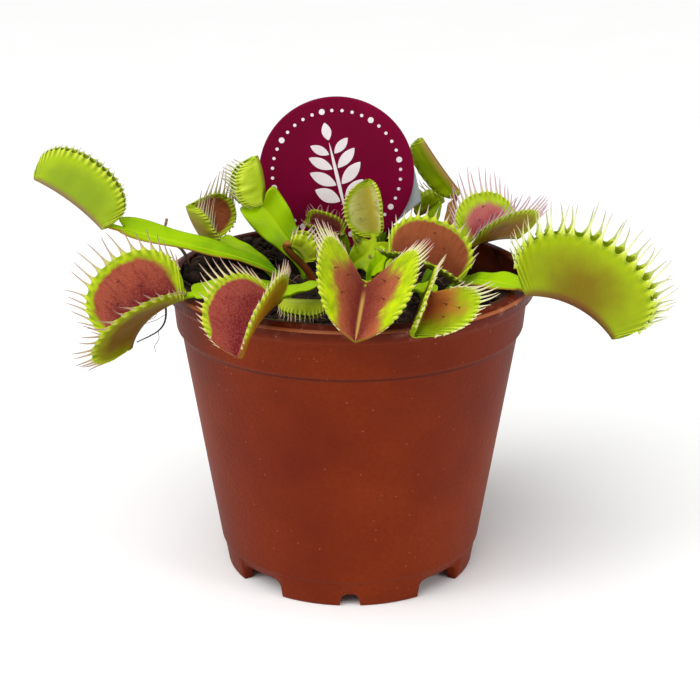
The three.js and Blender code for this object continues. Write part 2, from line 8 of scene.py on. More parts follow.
import bpy
import numpy as np
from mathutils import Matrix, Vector


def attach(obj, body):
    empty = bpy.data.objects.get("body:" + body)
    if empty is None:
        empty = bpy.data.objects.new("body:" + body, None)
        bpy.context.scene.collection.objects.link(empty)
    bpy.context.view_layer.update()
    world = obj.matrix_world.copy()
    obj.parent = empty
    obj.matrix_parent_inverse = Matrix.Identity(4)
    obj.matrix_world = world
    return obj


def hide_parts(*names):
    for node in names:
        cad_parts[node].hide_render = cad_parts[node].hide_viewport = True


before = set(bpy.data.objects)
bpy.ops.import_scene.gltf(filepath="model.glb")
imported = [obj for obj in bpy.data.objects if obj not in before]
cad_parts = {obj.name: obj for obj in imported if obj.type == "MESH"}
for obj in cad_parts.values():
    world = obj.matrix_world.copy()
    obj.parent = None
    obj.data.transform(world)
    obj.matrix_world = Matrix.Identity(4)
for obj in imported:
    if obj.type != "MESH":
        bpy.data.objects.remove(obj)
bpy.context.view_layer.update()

# ---------- Pot ----------
# A nursery pot injection-moulded in terracotta-coloured polypropylene: a thin cone with a stepped band and a
# rolled lip, standing on a foot ring with four gaps and four drain notches. The plastic is matt and finely
# grained, with pale specks of dust and scuffs along the lip.

WALL = 1.2
FOOT_RADIUS = 30.8
FOOT_TOP = 6.4
FLOOR_UNDER = 5.2
FLOOR_TOP = 6.6
DRAIN_RADIUS = 2.5
DRAIN_RING = 19.0
GAP_HALF, GAP_TOP = 7.0, 4.4
NOTCH_HALF, NOTCH_TOP = 2.5, 3.0
STEP_Z, STEP_TOP = 61.2, 62.6


def colour(code):
    """sRGB hex to linear RGBA."""
    parts = [int(code[i : i + 2], 16) / 255 for i in (1, 3, 5)]
    return [c / 12.92 if c <= 0.04045 else ((c + 0.055) / 1.055) ** 2.4 for c in parts] + [1.0]


def wire(tree, node, inputs):
    """Gives a node its inputs, by name or number: a socket is linked, any other value is set."""
    for key, value in inputs.items():
        if isinstance(value, bpy.types.NodeSocket):
            tree.links.new(value, node.inputs[key])
        else:
            node.inputs[key].default_value = value


def add(tree, kind, settings, inputs, out=0):
    """Adds a shader node with its settings and inputs, and returns one of its outputs."""
    node = tree.nodes.new("ShaderNode" + kind)
    for key, value in settings.items():
        setattr(node, key, value)
    wire(tree, node, inputs)
    return node.outputs[out]


TINT = {"data_type": "RGBA"}
SOFT = {"interpolation_type": "SMOOTHSTEP"}
TIMES = {"operation": "MULTIPLY"}
TIMES_PLUS = {"operation": "MULTIPLY_ADD"}


def start(name, plain):
    """A new material with the shader's plain values set: returns it, its tree, its shader and the output that
    gives the place on the object, in metres."""
    made = bpy.data.materials.new(name)
    made.use_nodes = True
    tree = made.node_tree
    shader = tree.nodes["Principled BSDF"]
    wire(tree, shader, plain)
    return made, tree, shader, add(tree, "TexCoord", {}, {}, 3)


def skins(grids):
    """Closed skins over rings of points, grids[skin, ring, point]: quads between neighbouring rings and a fan
    from the middle of each end ring, turned so that the enclosed volume is positive."""
    count, rings, around = grids.shape[:3]
    block = rings * around + 2
    base = np.arange(count) * block
    index = base[:, None, None] + np.arange(rings * around).reshape(1, rings, around)
    after = np.roll(index, -1, axis=2)
    quads = np.stack([index[:, :-1], after[:, :-1], after[:, 1:], index[:, 1:]], -1).reshape(-1, 4)
    tip = (base + rings * around)[:, None] + 0 * index[:, 0]
    fans = np.concatenate([np.stack([after[:, 0], index[:, 0], tip], -1).reshape(-1, 3),
                           np.stack([index[:, -1], after[:, -1], tip + 1], -1).reshape(-1, 3)])
    ends = [grids[:, :1].mean(2), grids[:, -1:].mean(2)]
    points = np.concatenate([grids.reshape(count, -1, 3), *ends], axis=1).reshape(-1, 3)
    corners = np.concatenate([quads[:, [0, 1, 2]], quads[:, [0, 2, 3]], fans])
    a, b, c = (points[corners[:, i]] - points.mean(0) for i in range(3))
    if np.einsum("ij,ij->", a, np.cross(b, c)) < 0:
        quads, fans = quads[:, ::-1], fans[:, ::-1]
    return points, quads, fans


def skinned(grids, number=0, **values):
    """A part of a piece: the skins over grids[skin, ring, point], or over one skin's grid[ring, point], its
    material's number and its attributes, as values on the same grid. An end point takes its ring's mean."""
    grids = grids.reshape(-1, *grids.shape[-3:])
    for key, value in values.items():
        value = value.reshape(grids.shape[:3])
        ends = [value[:, :1].mean(2), value[:, -1:].mean(2)]
        values[key] = np.concatenate([value.reshape(len(grids), -1), *ends], axis=1).reshape(-1)
    return *skins(grids), number, values


def piece(name, parts, materials, nodes=()):
    """One object at the origin from parts, each as skinned() gives it, riding on the root body in place of the
    named nodes."""
    points, faces, numbers = [], [], []
    shift = 0
    for verts, quads, fans, number, _ in parts:
        points.append(verts)
        faces += (quads + shift).tolist() + (fans + shift).tolist()
        numbers += [number] * (len(quads) + len(fans))
        shift += len(verts)
    mesh = bpy.data.meshes.new(name)
    mesh.from_pydata((np.concatenate(points) * 0.001).tolist(), [], faces)
    mesh.polygons.foreach_set("material_index", numbers)
    mesh.polygons.foreach_set("use_smooth", [True] * len(faces))
    for attribute in sorted({key for part in parts for key in part[4]}):
        layer = mesh.attributes.new(attribute, "FLOAT", "POINT")
        values = [part[4].get(attribute, np.zeros(len(part[0]))) for part in parts]
        layer.data.foreach_set("value", np.concatenate(values).astype(np.float32))
    for material in materials:
        mesh.materials.append(material)
    made = bpy.data.objects.new(name, mesh)
    bpy.context.scene.collection.objects.link(made)
    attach(made, "root")
    if nodes:
        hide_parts(*nodes)
    return made


def softened(profile, radius, steps=4):
    """A polyline of (radius, z) with its inner corners rounded: each corner becomes a quadratic curve that
    starts and ends at most radius away along its two sides."""
    out = [profile[0]]
    for before, corner, behind in zip(profile, profile[1:], profile[2:]):
        before, corner, behind = map(np.array, (before, corner, behind))
        reach = [min(radius, 0.45 * np.linalg.norm(p - corner)) for p in (before, behind)]
        p = corner + (before - corner) / np.linalg.norm(before - corner) * reach[0]
        q = corner + (behind - corner) / np.linalg.norm(behind - corner) * reach[1]
        s = np.linspace(0, 1, steps)[:, None]
        out += ((1 - s) ** 2 * p + 2 * s * (1 - s) * corner + s**2 * q).tolist()
    return np.array(out + [profile[-1]])


def foot_edge(azimuth):
    """Height of the foot ring's lower edge: 0, but an arch (1 - (d/half)^6)^0.4 of its height over each gap
    at the diagonals, and a rounder arch over each notch, d being the distance from the opening's middle."""
    edge = np.zeros_like(azimuth)
    for middle, half, top, power, root in ((45, GAP_HALF, GAP_TOP, 6, 0.4), (0, NOTCH_HALF, NOTCH_TOP, 3, 0.5)):
        off = (azimuth - middle + 45) % 90 - 45
        share = np.clip(np.abs(np.tan(np.radians(off)) * FOOT_RADIUS) / half, 0, 1)
        arch = top * (1 - share**power) ** root
        edge = np.maximum(edge, np.where(np.abs(off) < 30, arch, 0))
    return edge


def pot_skin():
    """The turned profile on a grid of azimuths that are closest together at the foot ring's openings, with the
    ring's lower part squeezed up to foot_edge."""
    profile = softened([
        (0.4, FLOOR_UNDER), (FOOT_RADIUS - 2 * WALL, FLOOR_UNDER), (FOOT_RADIUS - 2 * WALL, 0),
        (FOOT_RADIUS, 0), (31.9, FOOT_TOP), (32.4, 7.0), (41.1, STEP_Z), (42.3, STEP_TOP), (43.0, 70.2),
        (44.7, 71.2), (45.0, 73.9), (44.6, 74.2), (42.9, 75.1), (42.4, 75.2), (41.4, 75.1), (41.2, 74.8),
        (41.8, 70.2), (41.1, STEP_TOP), (39.9, STEP_Z), (31.2, FLOOR_TOP), (0.4, FLOOR_TOP),
    ], 0.55)
    spread = np.linspace(0, 1, 15)
    near_gap = 45 + np.concatenate([-13 * spread[1:], 13 * spread])
    near_notch = np.concatenate([-5 * spread[1:], 5 * spread])
    plain = np.concatenate([np.arange(6, 31, 1.5), 90 - np.arange(6, 31, 1.5)])
    quarter = np.unique(np.round(np.concatenate([near_gap, near_notch % 90, plain]) % 90, 3))
    azimuth = np.concatenate([quarter + turn for turn in (0, 90, 180, 270)])
    edge = foot_edge(azimuth)[None, :]
    radius, z = profile[:, :1], profile[:, 1:]
    top = np.where(radius > FOOT_RADIUS - WALL, FOOT_TOP, FLOOR_UNDER)
    z = np.where(z < top, edge + z * (top - edge) / top, z)
    a = np.radians(azimuth)[None, :]
    return np.stack([radius * np.cos(a), radius * np.sin(a), z + 0 * a], -1)


def moulded_polypropylene():
    """Terracotta polypropylene from a spark-grained mould: slow shifts of tone, a 1 mm grain that dulls the
    gloss, dust specks about 3 mm apart, painted shade in a line under the ledge, a scuffed, chipped lip
    darkened by painted shade and with a painted highlight along its edge, and painted shade on the wall inside."""
    made, tree, shader, place = start("moulded_polypropylene", {
        "Roughness": 0.5, "IOR": 1.49, "Specular IOR Level": 0.11})
    height = add(tree, "SeparateXYZ", {}, {"Vector": place}, 2)
    cloud = add(tree, "TexNoise", {}, {"Vector": place, "Scale": 1000 / 38, "Detail": 3.0})
    tone = add(tree, "MapRange", {}, {"Value": cloud, "From Min": 0.35, "From Max": 0.65})
    grain = add(tree, "TexNoise", {}, {"Vector": place, "Scale": 1000 / 1.0, "Detail": 3.0})
    mottle = add(tree, "MapRange", {},
                 {"Value": grain, "From Min": 0.3, "From Max": 0.7, "To Min": 0.0, "To Max": 0.3})
    dust = add(tree, "TexVoronoi", {}, {"Vector": place, "Scale": 1000 / 3})
    speck = add(tree, "MapRange", {},
                {"Value": dust, "From Min": 0.04, "From Max": 0.08, "To Min": 0.25, "To Max": 0.0})
    # the ledge faces down from 61.2 mm up, and its lowest 0.8 mm is darkened as painted shade
    ledge = add(tree, "Math", {"operation": "COMPARE"}, {0: height, 1: 0.0616, 2: 0.0004})
    painted_ledge_shade = add(tree, "Math", TIMES, {0: ledge, 1: 0.5})
    lip = add(tree, "MapRange", SOFT, {"Value": height, "From Min": 0.0705, "From Max": 0.0735})
    # painted shade: the lip is darkened for the shade of the leaves hanging over it
    painted_lip_shade = add(tree, "Math", TIMES, {0: lip, 1: 0.7})
    rub = add(tree, "TexNoise", {}, {"Vector": place, "Scale": 1000 / 4, "Detail": 6.0})
    scuff = add(tree, "MapRange", {}, {"Value": rub, "From Min": 0.56, "From Max": 0.7, "To Max": 0.35})
    worn = add(tree, "Math", TIMES, {0: lip, 1: scuff})
    chips = add(tree, "TexVoronoi", {}, {"Vector": place, "Scale": 1000 / 1.3})
    chip = add(tree, "MapRange", {},
               {"Value": chips, "From Min": 0.16, "From Max": 0.24, "To Min": 0.9, "To Max": 0.0})
    chip = add(tree, "Math", TIMES, {0: chip, 1: worn})
    # painted shade: the wall inside, above the upper band, is darkened to near-black, most strongly at the
    # bottom
    # the inner face of the upper band is 41.1 mm from the axis at 62.6 mm up, and the outer one 42.3 mm
    flat = add(tree, "VectorMath", TIMES, {0: place, 1: (1, 1, 0)})
    radius = add(tree, "VectorMath", {"operation": "LENGTH"}, {0: flat}, 1)
    flare = add(tree, "Math", TIMES_PLUS, {0: height, 1: -0.0921, 2: radius})
    within = add(tree, "MapRange", {},
                 {"Value": flare, "From Min": 0.0357, "From Max": 0.0362, "To Min": 1.0, "To Max": 0.0})
    above = add(tree, "MapRange", {}, {"Value": height, "From Min": 0.0626, "From Max": 0.0636})
    fading = add(tree, "MapRange", {},
                 {"Value": height, "From Min": 0.064, "From Max": 0.074, "To Min": 1.0, "To Max": 0.55})
    painted_inner_shade = add(tree, "Math", TIMES, {0: within, 1: above})
    painted_inner_shade = add(tree, "Math", TIMES, {0: painted_inner_shade, 1: fading})
    # the lip's edge is 45 mm from the axis and 74 mm up: a thin band round it is paled there as a painted
    # highlight
    off_edge = add(tree, "Math", {"operation": "COMPARE"}, {0: height, 1: 0.0741, 2: 0.0003})
    outermost = add(tree, "MapRange", {},
                    {"Value": radius, "From Min": 0.0441, "From Max": 0.0445, "To Max": 0.5})
    painted_edge_highlight = add(tree, "Math", TIMES, {0: off_edge, 1: outermost})
    base = add(tree, "Mix", TINT, {"Factor": tone, 6: colour("#661c00"), 7: colour("#7c2900")}, 2)
    for share, tint in ((mottle, "#541400"), (speck, "#c98a6c"), (painted_ledge_shade, "#300a00"), (painted_lip_shade, "#480e00"),
                        (worn, "#a06a54"), (chip, "#f0cdb8"), (painted_inner_shade, "#1c0f0a"), (painted_edge_highlight, "#c87850")):
        base = add(tree, "Mix", TINT, {"Factor": share, 6: base, 7: colour(tint)}, 2)
    rough = add(tree, "MapRange", {}, {"Value": lip, "To Min": 0.55, "To Max": 0.36})
    bump = add(tree, "Bump", {}, {"Strength": 0.7, "Distance": 0.0002, "Height": grain})
    wire(tree, shader, {"Base Color": base, "Roughness": rough, "Normal": bump})
    return made


def drained(made):
    """Cuts the four round drain holes through the floor."""
    angle = np.linspace(0, 2 * np.pi, 33)[:-1]
    z = np.array([FLOOR_UNDER - 2, FLOOR_TOP + 2])[:, None] + 0 * angle
    drill = []
    for turn in np.radians([45, 135, 225, 315]):
        x = DRAIN_RING * np.cos(turn) + DRAIN_RADIUS * np.cos(angle) + 0 * z
        y = DRAIN_RING * np.sin(turn) + DRAIN_RADIUS * np.sin(angle) + 0 * z
        drill.append(np.stack([x, y, z], -1))
    points, quads, fans = skins(np.array(drill))
    mesh = bpy.data.meshes.new("drill")
    mesh.from_pydata((points * 0.001).tolist(), [], quads.tolist() + fans.tolist())
    cutter = bpy.data.objects.new("drill", mesh)
    bpy.context.scene.collection.objects.link(cutter)
    cut = made.modifiers.new("drain", "BOOLEAN")
    cut.operation, cut.solver, cut.object = "DIFFERENCE", "EXACT", cutter
    bored = bpy.data.meshes.new_from_object(made.evaluated_get(bpy.context.evaluated_depsgraph_get()))
    made.modifiers.clear()
    made.data = bored
    bpy.data.objects.remove(cutter)


drained(piece("pot_shell", [skinned(pot_skin())], [moulded_polypropylene()], ["pot"]))

# ---------- Soil ----------
# Near-black peat: a crumbly filling, a little domed and heaped against the rim at the back left, with loose
# crumbs and root fibres lying on it. It closes round the foot of each leaf.

SOIL_RADIUS = 40.7
SOIL_LEVEL = 65.5
DOME = 2.2
BANK_HEIGHT, BANK_FROM, BANK_LONG, BANK_AZIMUTH = 9.0, 14.0, 27.0, math.radians(150)
PEAT_CRUMBS, CRUMBS_WITHIN = 900, 39
FIBRES, FIBRES_WITHIN, FIBRE_HALF = 90, 37, 0.12


def lattice(x, y, cell, seed):
    """Smooth random height at x, y: values between -1 and 1 drawn for the corners of square cells, blended
    inside each cell by 3u^2 - 2u^3."""
    table = np.random.default_rng(seed).uniform(-1, 1, (257, 257))
    u, v = x / cell + 128, y / cell + 128
    i, j = np.floor(u).astype(int) % 256, np.floor(v).astype(int) % 256
    u, v = u - np.floor(u), v - np.floor(v)
    u, v = u * u * (3 - 2 * u), v * v * (3 - 2 * v)
    low = table[i, j] * (1 - u) + table[i + 1, j] * u
    high = table[i, j + 1] * (1 - u) + table[i + 1, j + 1] * u
    return low * (1 - v) + high * v


def soil_height(x, y):
    """Level of the peat: a bank that rises smoothly towards its azimuth, a low dome, and sine lumps that die
    out near the wall."""
    uphill = x * math.cos(BANK_AZIMUTH) + y * math.sin(BANK_AZIMUTH)
    u = np.clip((uphill - BANK_FROM) / BANK_LONG, 0, 1)
    share = np.minimum(np.hypot(x, y) / 40, 1)
    lumps = np.sin(0.55 * x + 1.3) * np.cos(0.48 * y + 0.4)
    lumps = lumps + 0.7 * np.sin(0.9 * y - 0.35 * x + 2.1) + 0.5 * np.cos(1.15 * x + 0.6 * y)
    calm = np.minimum(1, 3 * (1 - share) + 0.35)
    return SOIL_LEVEL + BANK_HEIGHT * u * u * (3 - 2 * u) + DOME * (1 - share**2) + 0.9 * calm * lumps


def soil_skin():
    """Rings of the filling from its underside up the wall and over the top, the top roughened by three sizes
    of lattice noise."""
    angle = np.linspace(0, 2 * np.pi, 241)[:-1][None, :]
    side = np.array([(6, 7.2), (30.6, 7.2), (39.4, 61.2), (40.4, 63.1)])
    radius = np.concatenate([side[:, 0], SOIL_RADIUS * np.linspace(1, 0, 90)[:-1] ** 0.9])[:, None]
    x, y = radius * np.cos(angle), radius * np.sin(angle)
    rough = 0.8 * lattice(x, y, 3.1, 1) + 0.55 * lattice(x, y, 1.3, 2) + 0.3 * lattice(x, y, 0.6, 3)
    z = soil_height(x, y) + rough
    z[: len(side)] = side[:, 1:]
    return np.stack([x, y, z], -1)


def crumbs(count, seed):
    """Small lumps: a six-sided, three-ring blob each, its radii drawn unevenly, half sunk in the soil."""
    rng = np.random.default_rng(seed)
    angle = np.linspace(0, 2 * np.pi, 7)[:-1]
    ring_z = np.array([-0.8, 0.0, 0.75])[None, :, None]
    ring_r = np.array([0.6, 1.0, 0.55])[None, :, None]
    size = rng.gamma(2.2, 0.42, count)[:, None, None].clip(0.3, 2.6)
    uneven = rng.uniform(0.65, 1.25, (count, 3, 6))
    far, turn = CRUMBS_WITHIN * np.sqrt(rng.random(count)), rng.uniform(0, 2 * np.pi, count)
    x, y = far * np.cos(turn), far * np.sin(turn)
    z = soil_height(x, y) + 0.15 * size[:, 0, 0]
    px = x[:, None, None] + size * ring_r * uneven * np.cos(angle)
    py = y[:, None, None] + size * ring_r * uneven * np.sin(angle)
    pz = z[:, None, None] + size * 0.7 * (ring_z + rng.uniform(-0.2, 0.2, (count, 3, 6)))
    return np.stack([px, py, pz], -1)


def strands(paths, radii, sides=6):
    """Thin tubes along paths[strand, step], with radii[strand, step]: each ring stands square to the path."""
    ahead = np.gradient(paths, axis=1)
    ahead /= np.linalg.norm(ahead, axis=-1, keepdims=True)
    aside = np.cross(ahead, [0.31, 0.52, 0.8])
    aside /= np.linalg.norm(aside, axis=-1, keepdims=True)
    other = np.cross(ahead, aside)
    angle = np.linspace(0, 2 * np.pi, sides + 1)[:-1][None, None, :, None]
    ring = np.cos(angle) * aside[:, :, None] + np.sin(angle) * other[:, :, None]
    return paths[:, :, None] + radii[:, :, None, None] * ring


def fibre_paths(count, seed):
    """Root fibres lying on the peat: gently curving lines 6 to 16 mm long, a little above the surface."""
    rng = np.random.default_rng(seed)
    far, turn = FIBRES_WITHIN * np.sqrt(rng.random(count)), rng.uniform(0, 2 * np.pi, count)
    s = np.linspace(0, 1, 9)[None, :]
    heading = rng.uniform(0, 2 * np.pi, count)[:, None] + rng.uniform(-2, 2, count)[:, None] * s
    step = rng.uniform(6, 16, count)[:, None] / 9
    x = (far * np.cos(turn))[:, None] + np.cumsum(step * np.cos(heading), axis=1)
    y = (far * np.sin(turn))[:, None] + np.cumsum(step * np.sin(heading), axis=1)
    over = np.maximum(np.hypot(x, y) / 39.5, 1)
    x, y = x / over, y / over
    z = soil_height(x, y) + 0.9 + rng.uniform(0, 1.2, count)[:, None] * np.sin(np.pi * s)
    return np.stack([x, y, z], -1)


def peat():
    """Milled sphagnum peat: near-black brown, fully matt, with browner and paler crumbs about 1 mm across."""
    made, tree, shader, place = start("milled_peat", {
        "Roughness": 0.96, "IOR": 1.4, "Specular IOR Level": 0.25})
    clod = add(tree, "TexNoise", {}, {"Vector": place, "Scale": 1000 / 2.2, "Detail": 8.0})
    tone = add(tree, "MapRange", {}, {"Value": clod, "From Min": 0.4, "From Max": 0.72})
    base = add(tree, "Mix", TINT, {"Factor": tone, 6: colour("#120d0a"), 7: colour("#3a2a1e")}, 2)
    flake = add(tree, "TexVoronoi", {}, {"Vector": place, "Scale": 1000 / 1.6})
    pale = add(tree, "MapRange", {},
               {"Value": flake, "From Min": 0.10, "From Max": 0.17, "To Min": 0.55, "To Max": 0.0})
    base = add(tree, "Mix", TINT, {"Factor": pale, 6: base, 7: colour("#5c4632")}, 2)
    bump = add(tree, "Bump", {}, {"Strength": 0.8, "Distance": 0.0006, "Height": clod})
    wire(tree, shader, {"Base Color": base, "Normal": bump})
    return made


def mottled(name, plain, size, main, other, low=0.0, high=1.0):
    """A material of two tones that drift into each other in clouds about size mm across."""
    made, tree, shader, place = start(name, plain)
    drift = add(tree, "TexNoise", {}, {"Vector": place, "Scale": 1000 / size})
    tone = add(tree, "MapRange", {}, {"Value": drift, "From Min": low, "From Max": high})
    base = add(tree, "Mix", TINT, {"Factor": tone, 6: colour(main), 7: colour(other)}, 2)
    wire(tree, shader, {"Base Color": base})
    return made


piece("soil_fill", [skinned(soil_skin()), skinned(crumbs(PEAT_CRUMBS, 5))], [peat()], ["soil"])
# dead root fibre: dull brown, lighter where it has dried out
root_fibre = mottled("dry_root_fibre", {"Roughness": 0.8}, 6, "#2a1a12", "#8a6a4c", 0.4, 0.6)
fibre_radii = FIBRE_HALF * np.ones((FIBRES, 9)) * np.linspace(1, 0.5, 9)
piece("soil_fibres", [skinned(strands(fibre_paths(FIBRES, 8), fibre_radii, 4))], [root_fibre])

# ---------- Stray root and dry twig ----------
# A dead black root with pale side hairs hangs over the rim at the left, and the dry stub of an old leaf stands
# up out of the heaped peat behind it.


def curve_through(points, count):
    """Points spaced along a smooth line through the given ones (Catmull-Rom: each span is the cubic whose end
    slopes are half the step between the neighbours)."""
    p = np.array(points, float)
    p = np.concatenate([[2 * p[0] - p[1]], p, [2 * p[-1] - p[-2]]])
    s = np.linspace(0, len(points) - 1 - 1e-6, count)
    i, u = np.floor(s).astype(int), (s % 1)[:, None]
    a, b, c, d = p[i], p[i + 1], p[i + 2], p[i + 3]
    return 0.5 * (2 * b + (c - a) * u + (2 * a - 5 * b + 4 * c - d) * u**2 + (3 * b - a - 3 * c + d) * u**3)


stray = curve_through([(-37, -9, 73), (-41.4, -11.4, 76.8), (-43.9, -12, 75.6), (-44.2, -12.3, 72.4),
                       (-43.7, -12.6, 69), (-44, -13.2, 66.3), (-45.3, -13.8, 64.4), (-47.5, -14.4, 63.1),
                       (-50.7, -15, 61.7)], 40)
hairs = [curve_through(points, 40) for points in (
    [(-43.8, -13, 68), (-46.6, -13.8, 66.6), (-50.2, -14.6, 66), (-53.6, -15, 66.4)],
    [(-45.6, -13.9, 64.2), (-45.4, -14.6, 62.4), (-46.4, -15, 60.8), (-46.2, -15.4, 59.4)],
    [(-44.1, -12.4, 71), (-45.6, -13.6, 69.8), (-46, -14.4, 68), (-47.8, -15, 67.2)])]
stray_radii = np.concatenate([np.linspace(0.38, 0.14, 40)[None], np.full((3, 40), 0.07)])
# a dead root that is still damp: black-brown, with a dull shine
wet_root = mottled("dead_root", {"Roughness": 0.6}, 3, "#0d0b0a", "#2e2420")
piece("stray_root", [skinned(strands(np.array([stray]), stray_radii[:1], 8)),
                     skinned(strands(np.array(hairs), stray_radii[1:], 5), 1)],
      [wet_root, root_fibre])
twig = curve_through([(-39.6, 8.5, 73.5), (-41.3, 9, 77.3), (-44.4, 9.5, 79.9), (-46.1, 10, 82.1),
                      (-45.5, 10, 83.6), (-45.1, 10, 85.2)], 24)
twig_radii = 0.4 * np.array([0.8, 0.75, 0.8, 1.0, 1.05, 0.9, 1.0, 1.1] * 3)[None] * np.linspace(1, 0.9, 24)
piece("dry_twig", [skinned(strands(np.array([twig]), twig_radii, 10))], [root_fibre])

# ---------- Plant label ----------
# A round label of printed burgundy film on a stake of milky polypropylene that is pushed into the peat. The
# print is a plain sprig in a ring of dots.

LABEL = np.array([-3.4, 25.0, 93.0])
LABEL_RADIUS = 19.6
LABEL_TILT = 13.0
DOT_RING = 16.2
STAKE_RADIUS, STAKE_HALF = 19.4, 4.5
# heights on the stake from the disc's centre: where its plate turns in, meets the stake, tapers and ends
SHOULDER, NECK, TAPER, TIP = -12, -20, -50, -58
# front, back and drawn-in edge of the three flat layers, as depths behind the disc's middle
DISC, STAKE, PRINT = (-0.4, 0.4, 0.12), (0.7, 1.5, 0.1), (-0.45, -0.38, 0.02)


def on_label(across, up, depth):
    """Points of the tilted label plane, turned about the disc's centre: across and up its face, depth behind
    its middle."""
    tilt = math.radians(LABEL_TILT)
    x = across * math.cos(tilt) - up * math.sin(tilt)
    z = across * math.sin(tilt) + up * math.cos(tilt)
    return np.stack([LABEL[0] + x, LABEL[1] + depth + 0 * x, LABEL[2] + z], -1)


def plate(outline, front, back, edge):
    """A flat plate: its outline, a ring of (across, up), drawn in by edge at each face, between two depths."""
    middle = outline.mean(0)
    inset = middle + (outline - middle) * (1 - edge / np.linalg.norm(outline - middle, axis=1).max())
    rings = [(inset * 0.98 + middle * 0.02, front), (inset, front), (outline, front + edge),
             (outline, back - edge), (inset, back), (inset * 0.98 + middle * 0.02, back)]
    return np.stack([on_label(ring[:, 0], ring[:, 1], depth) for ring, depth in rings])


def petal(x, y, angle, long, wide):
    """Outline of a pointed leaf: half-width wide sin(pi u)^0.8 over its length u, pointed at both ends."""
    u = np.concatenate([np.linspace(0.01, 0.99, 15), np.linspace(0.99, 0.01, 15)])
    side = np.concatenate([np.ones(15), -np.ones(15)])
    a, b = long * u, side * wide * np.sin(np.pi * u) ** 0.8
    c, s = math.cos(math.radians(angle)), math.sin(math.radians(angle))
    return np.stack([x + a * c - b * s, y + a * s + b * c], -1)


def printed_film(name, main, other, gloss):
    """Offset-printed polypropylene film: an even satin ink film with faint clouding where it was scuffed."""
    made, tree, shader, place = start(name, {"Roughness": gloss, "IOR": 1.49, "Specular IOR Level": 0.08})
    haze = add(tree, "TexNoise", {}, {"Vector": place, "Scale": 1000 / 14, "Detail": 4.0})
    tone = add(tree, "MapRange", {}, {"Value": haze, "From Min": 0.4, "From Max": 0.65})
    base = add(tree, "Mix", TINT, {"Factor": tone, 6: colour(main), 7: colour(other)}, 2)
    rough = add(tree, "MapRange", {}, {"Value": haze, "To Min": gloss - 0.08, "To Max": gloss + 0.1})
    wire(tree, shader, {"Base Color": base, "Roughness": rough})
    return made


round_trip = np.linspace(0, 2 * np.pi, 145)[:-1]
disc_outline = LABEL_RADIUS * np.stack([np.cos(round_trip), np.sin(round_trip)], -1)
burgundy = printed_film("burgundy_print", "#6c0029", "#780030", 0.62)
piece("label_face", [skinned(plate(disc_outline, *DISC))], [burgundy], ["label_disc"])

ring = disc_outline[::9] / LABEL_RADIUS
dots = []
for turn in range(0, 360, 9):
    middle = DOT_RING * np.array([math.cos(math.radians(turn)), math.sin(math.radians(turn))])
    dots.append(plate(middle + (0.42 if turn % 45 else 0.75) * ring, *PRINT))
sprig = [petal(0, -11, 90, 19.4, 0.45)]
for pair, (height, long) in enumerate(((-7.2, 7.0), (-2.9, 7.4), (1.4, 6.6), (5.2, 5.2))):
    sprig += [petal(0.7 * side, height, 90 - 52 * side, long, 1.75 - 0.2 * pair) for side in (1, -1)]
sprig += [petal(0, 8.8, 90, 4.6, 1.2)]
leaflets = np.array([plate(outline, *PRINT) for outline in sprig])
piece("label_print_marks", [skinned(np.array(dots)), skinned(leaflets)],
      [printed_film("white_print", "#efe6ea", "#e0d2d8", 0.45)])

top = np.linspace(0, np.pi, 60)
right_side = [(0.6, TIP), (STAKE_HALF, TAPER), (STAKE_HALF, NECK), (STAKE_RADIUS, SHOULDER)]
stake_outline = np.concatenate([
    STAKE_RADIUS * np.stack([np.cos(top), np.sin(top)], -1),
    [(-x, y) for x, y in right_side[::-1]],
    right_side,
])
# unfilled polypropylene in a polished mould: milky, smooth and letting some light through
milky = mottled("milky_polypropylene", {"Roughness": 0.32, "IOR": 1.49, "Transmission Weight": 0.25}, 9,
                "#cdd3d8", "#b4bcc4")
piece("label_stake_plate", [skinned(plate(stake_outline, *STAKE))], [milky], ["label_stake"])

# ---------- Leaves ----------
# Each leaf grows out of the peat on a winged petiole, narrows to a short stalk and ends in a trap: two fleshy
# lobes hinged along the midrib, their margins set with stiff tapering teeth and their red inner faces with
# three trigger hairs each. Wax makes the green skin glossy, and fine glands make the red faces matt.

LOBE_THICK = 0.8
RIB_THICK = 1.5
UNEVEN = 0.17
ROWS_A_TOOTH = 10
ACROSS = 18
# shares of a margin's rows: where the teeth begin, and how much they take
TOOTHED_FROM, TOOTHED = 0.6 / 7, 5.8 / 7
FOOT_DEPTH = 4.5
COLLAR = 0.8
FOOT_HALF = 1.1
STALK_WIDTH = 1.9
BLADE_END = 0.92

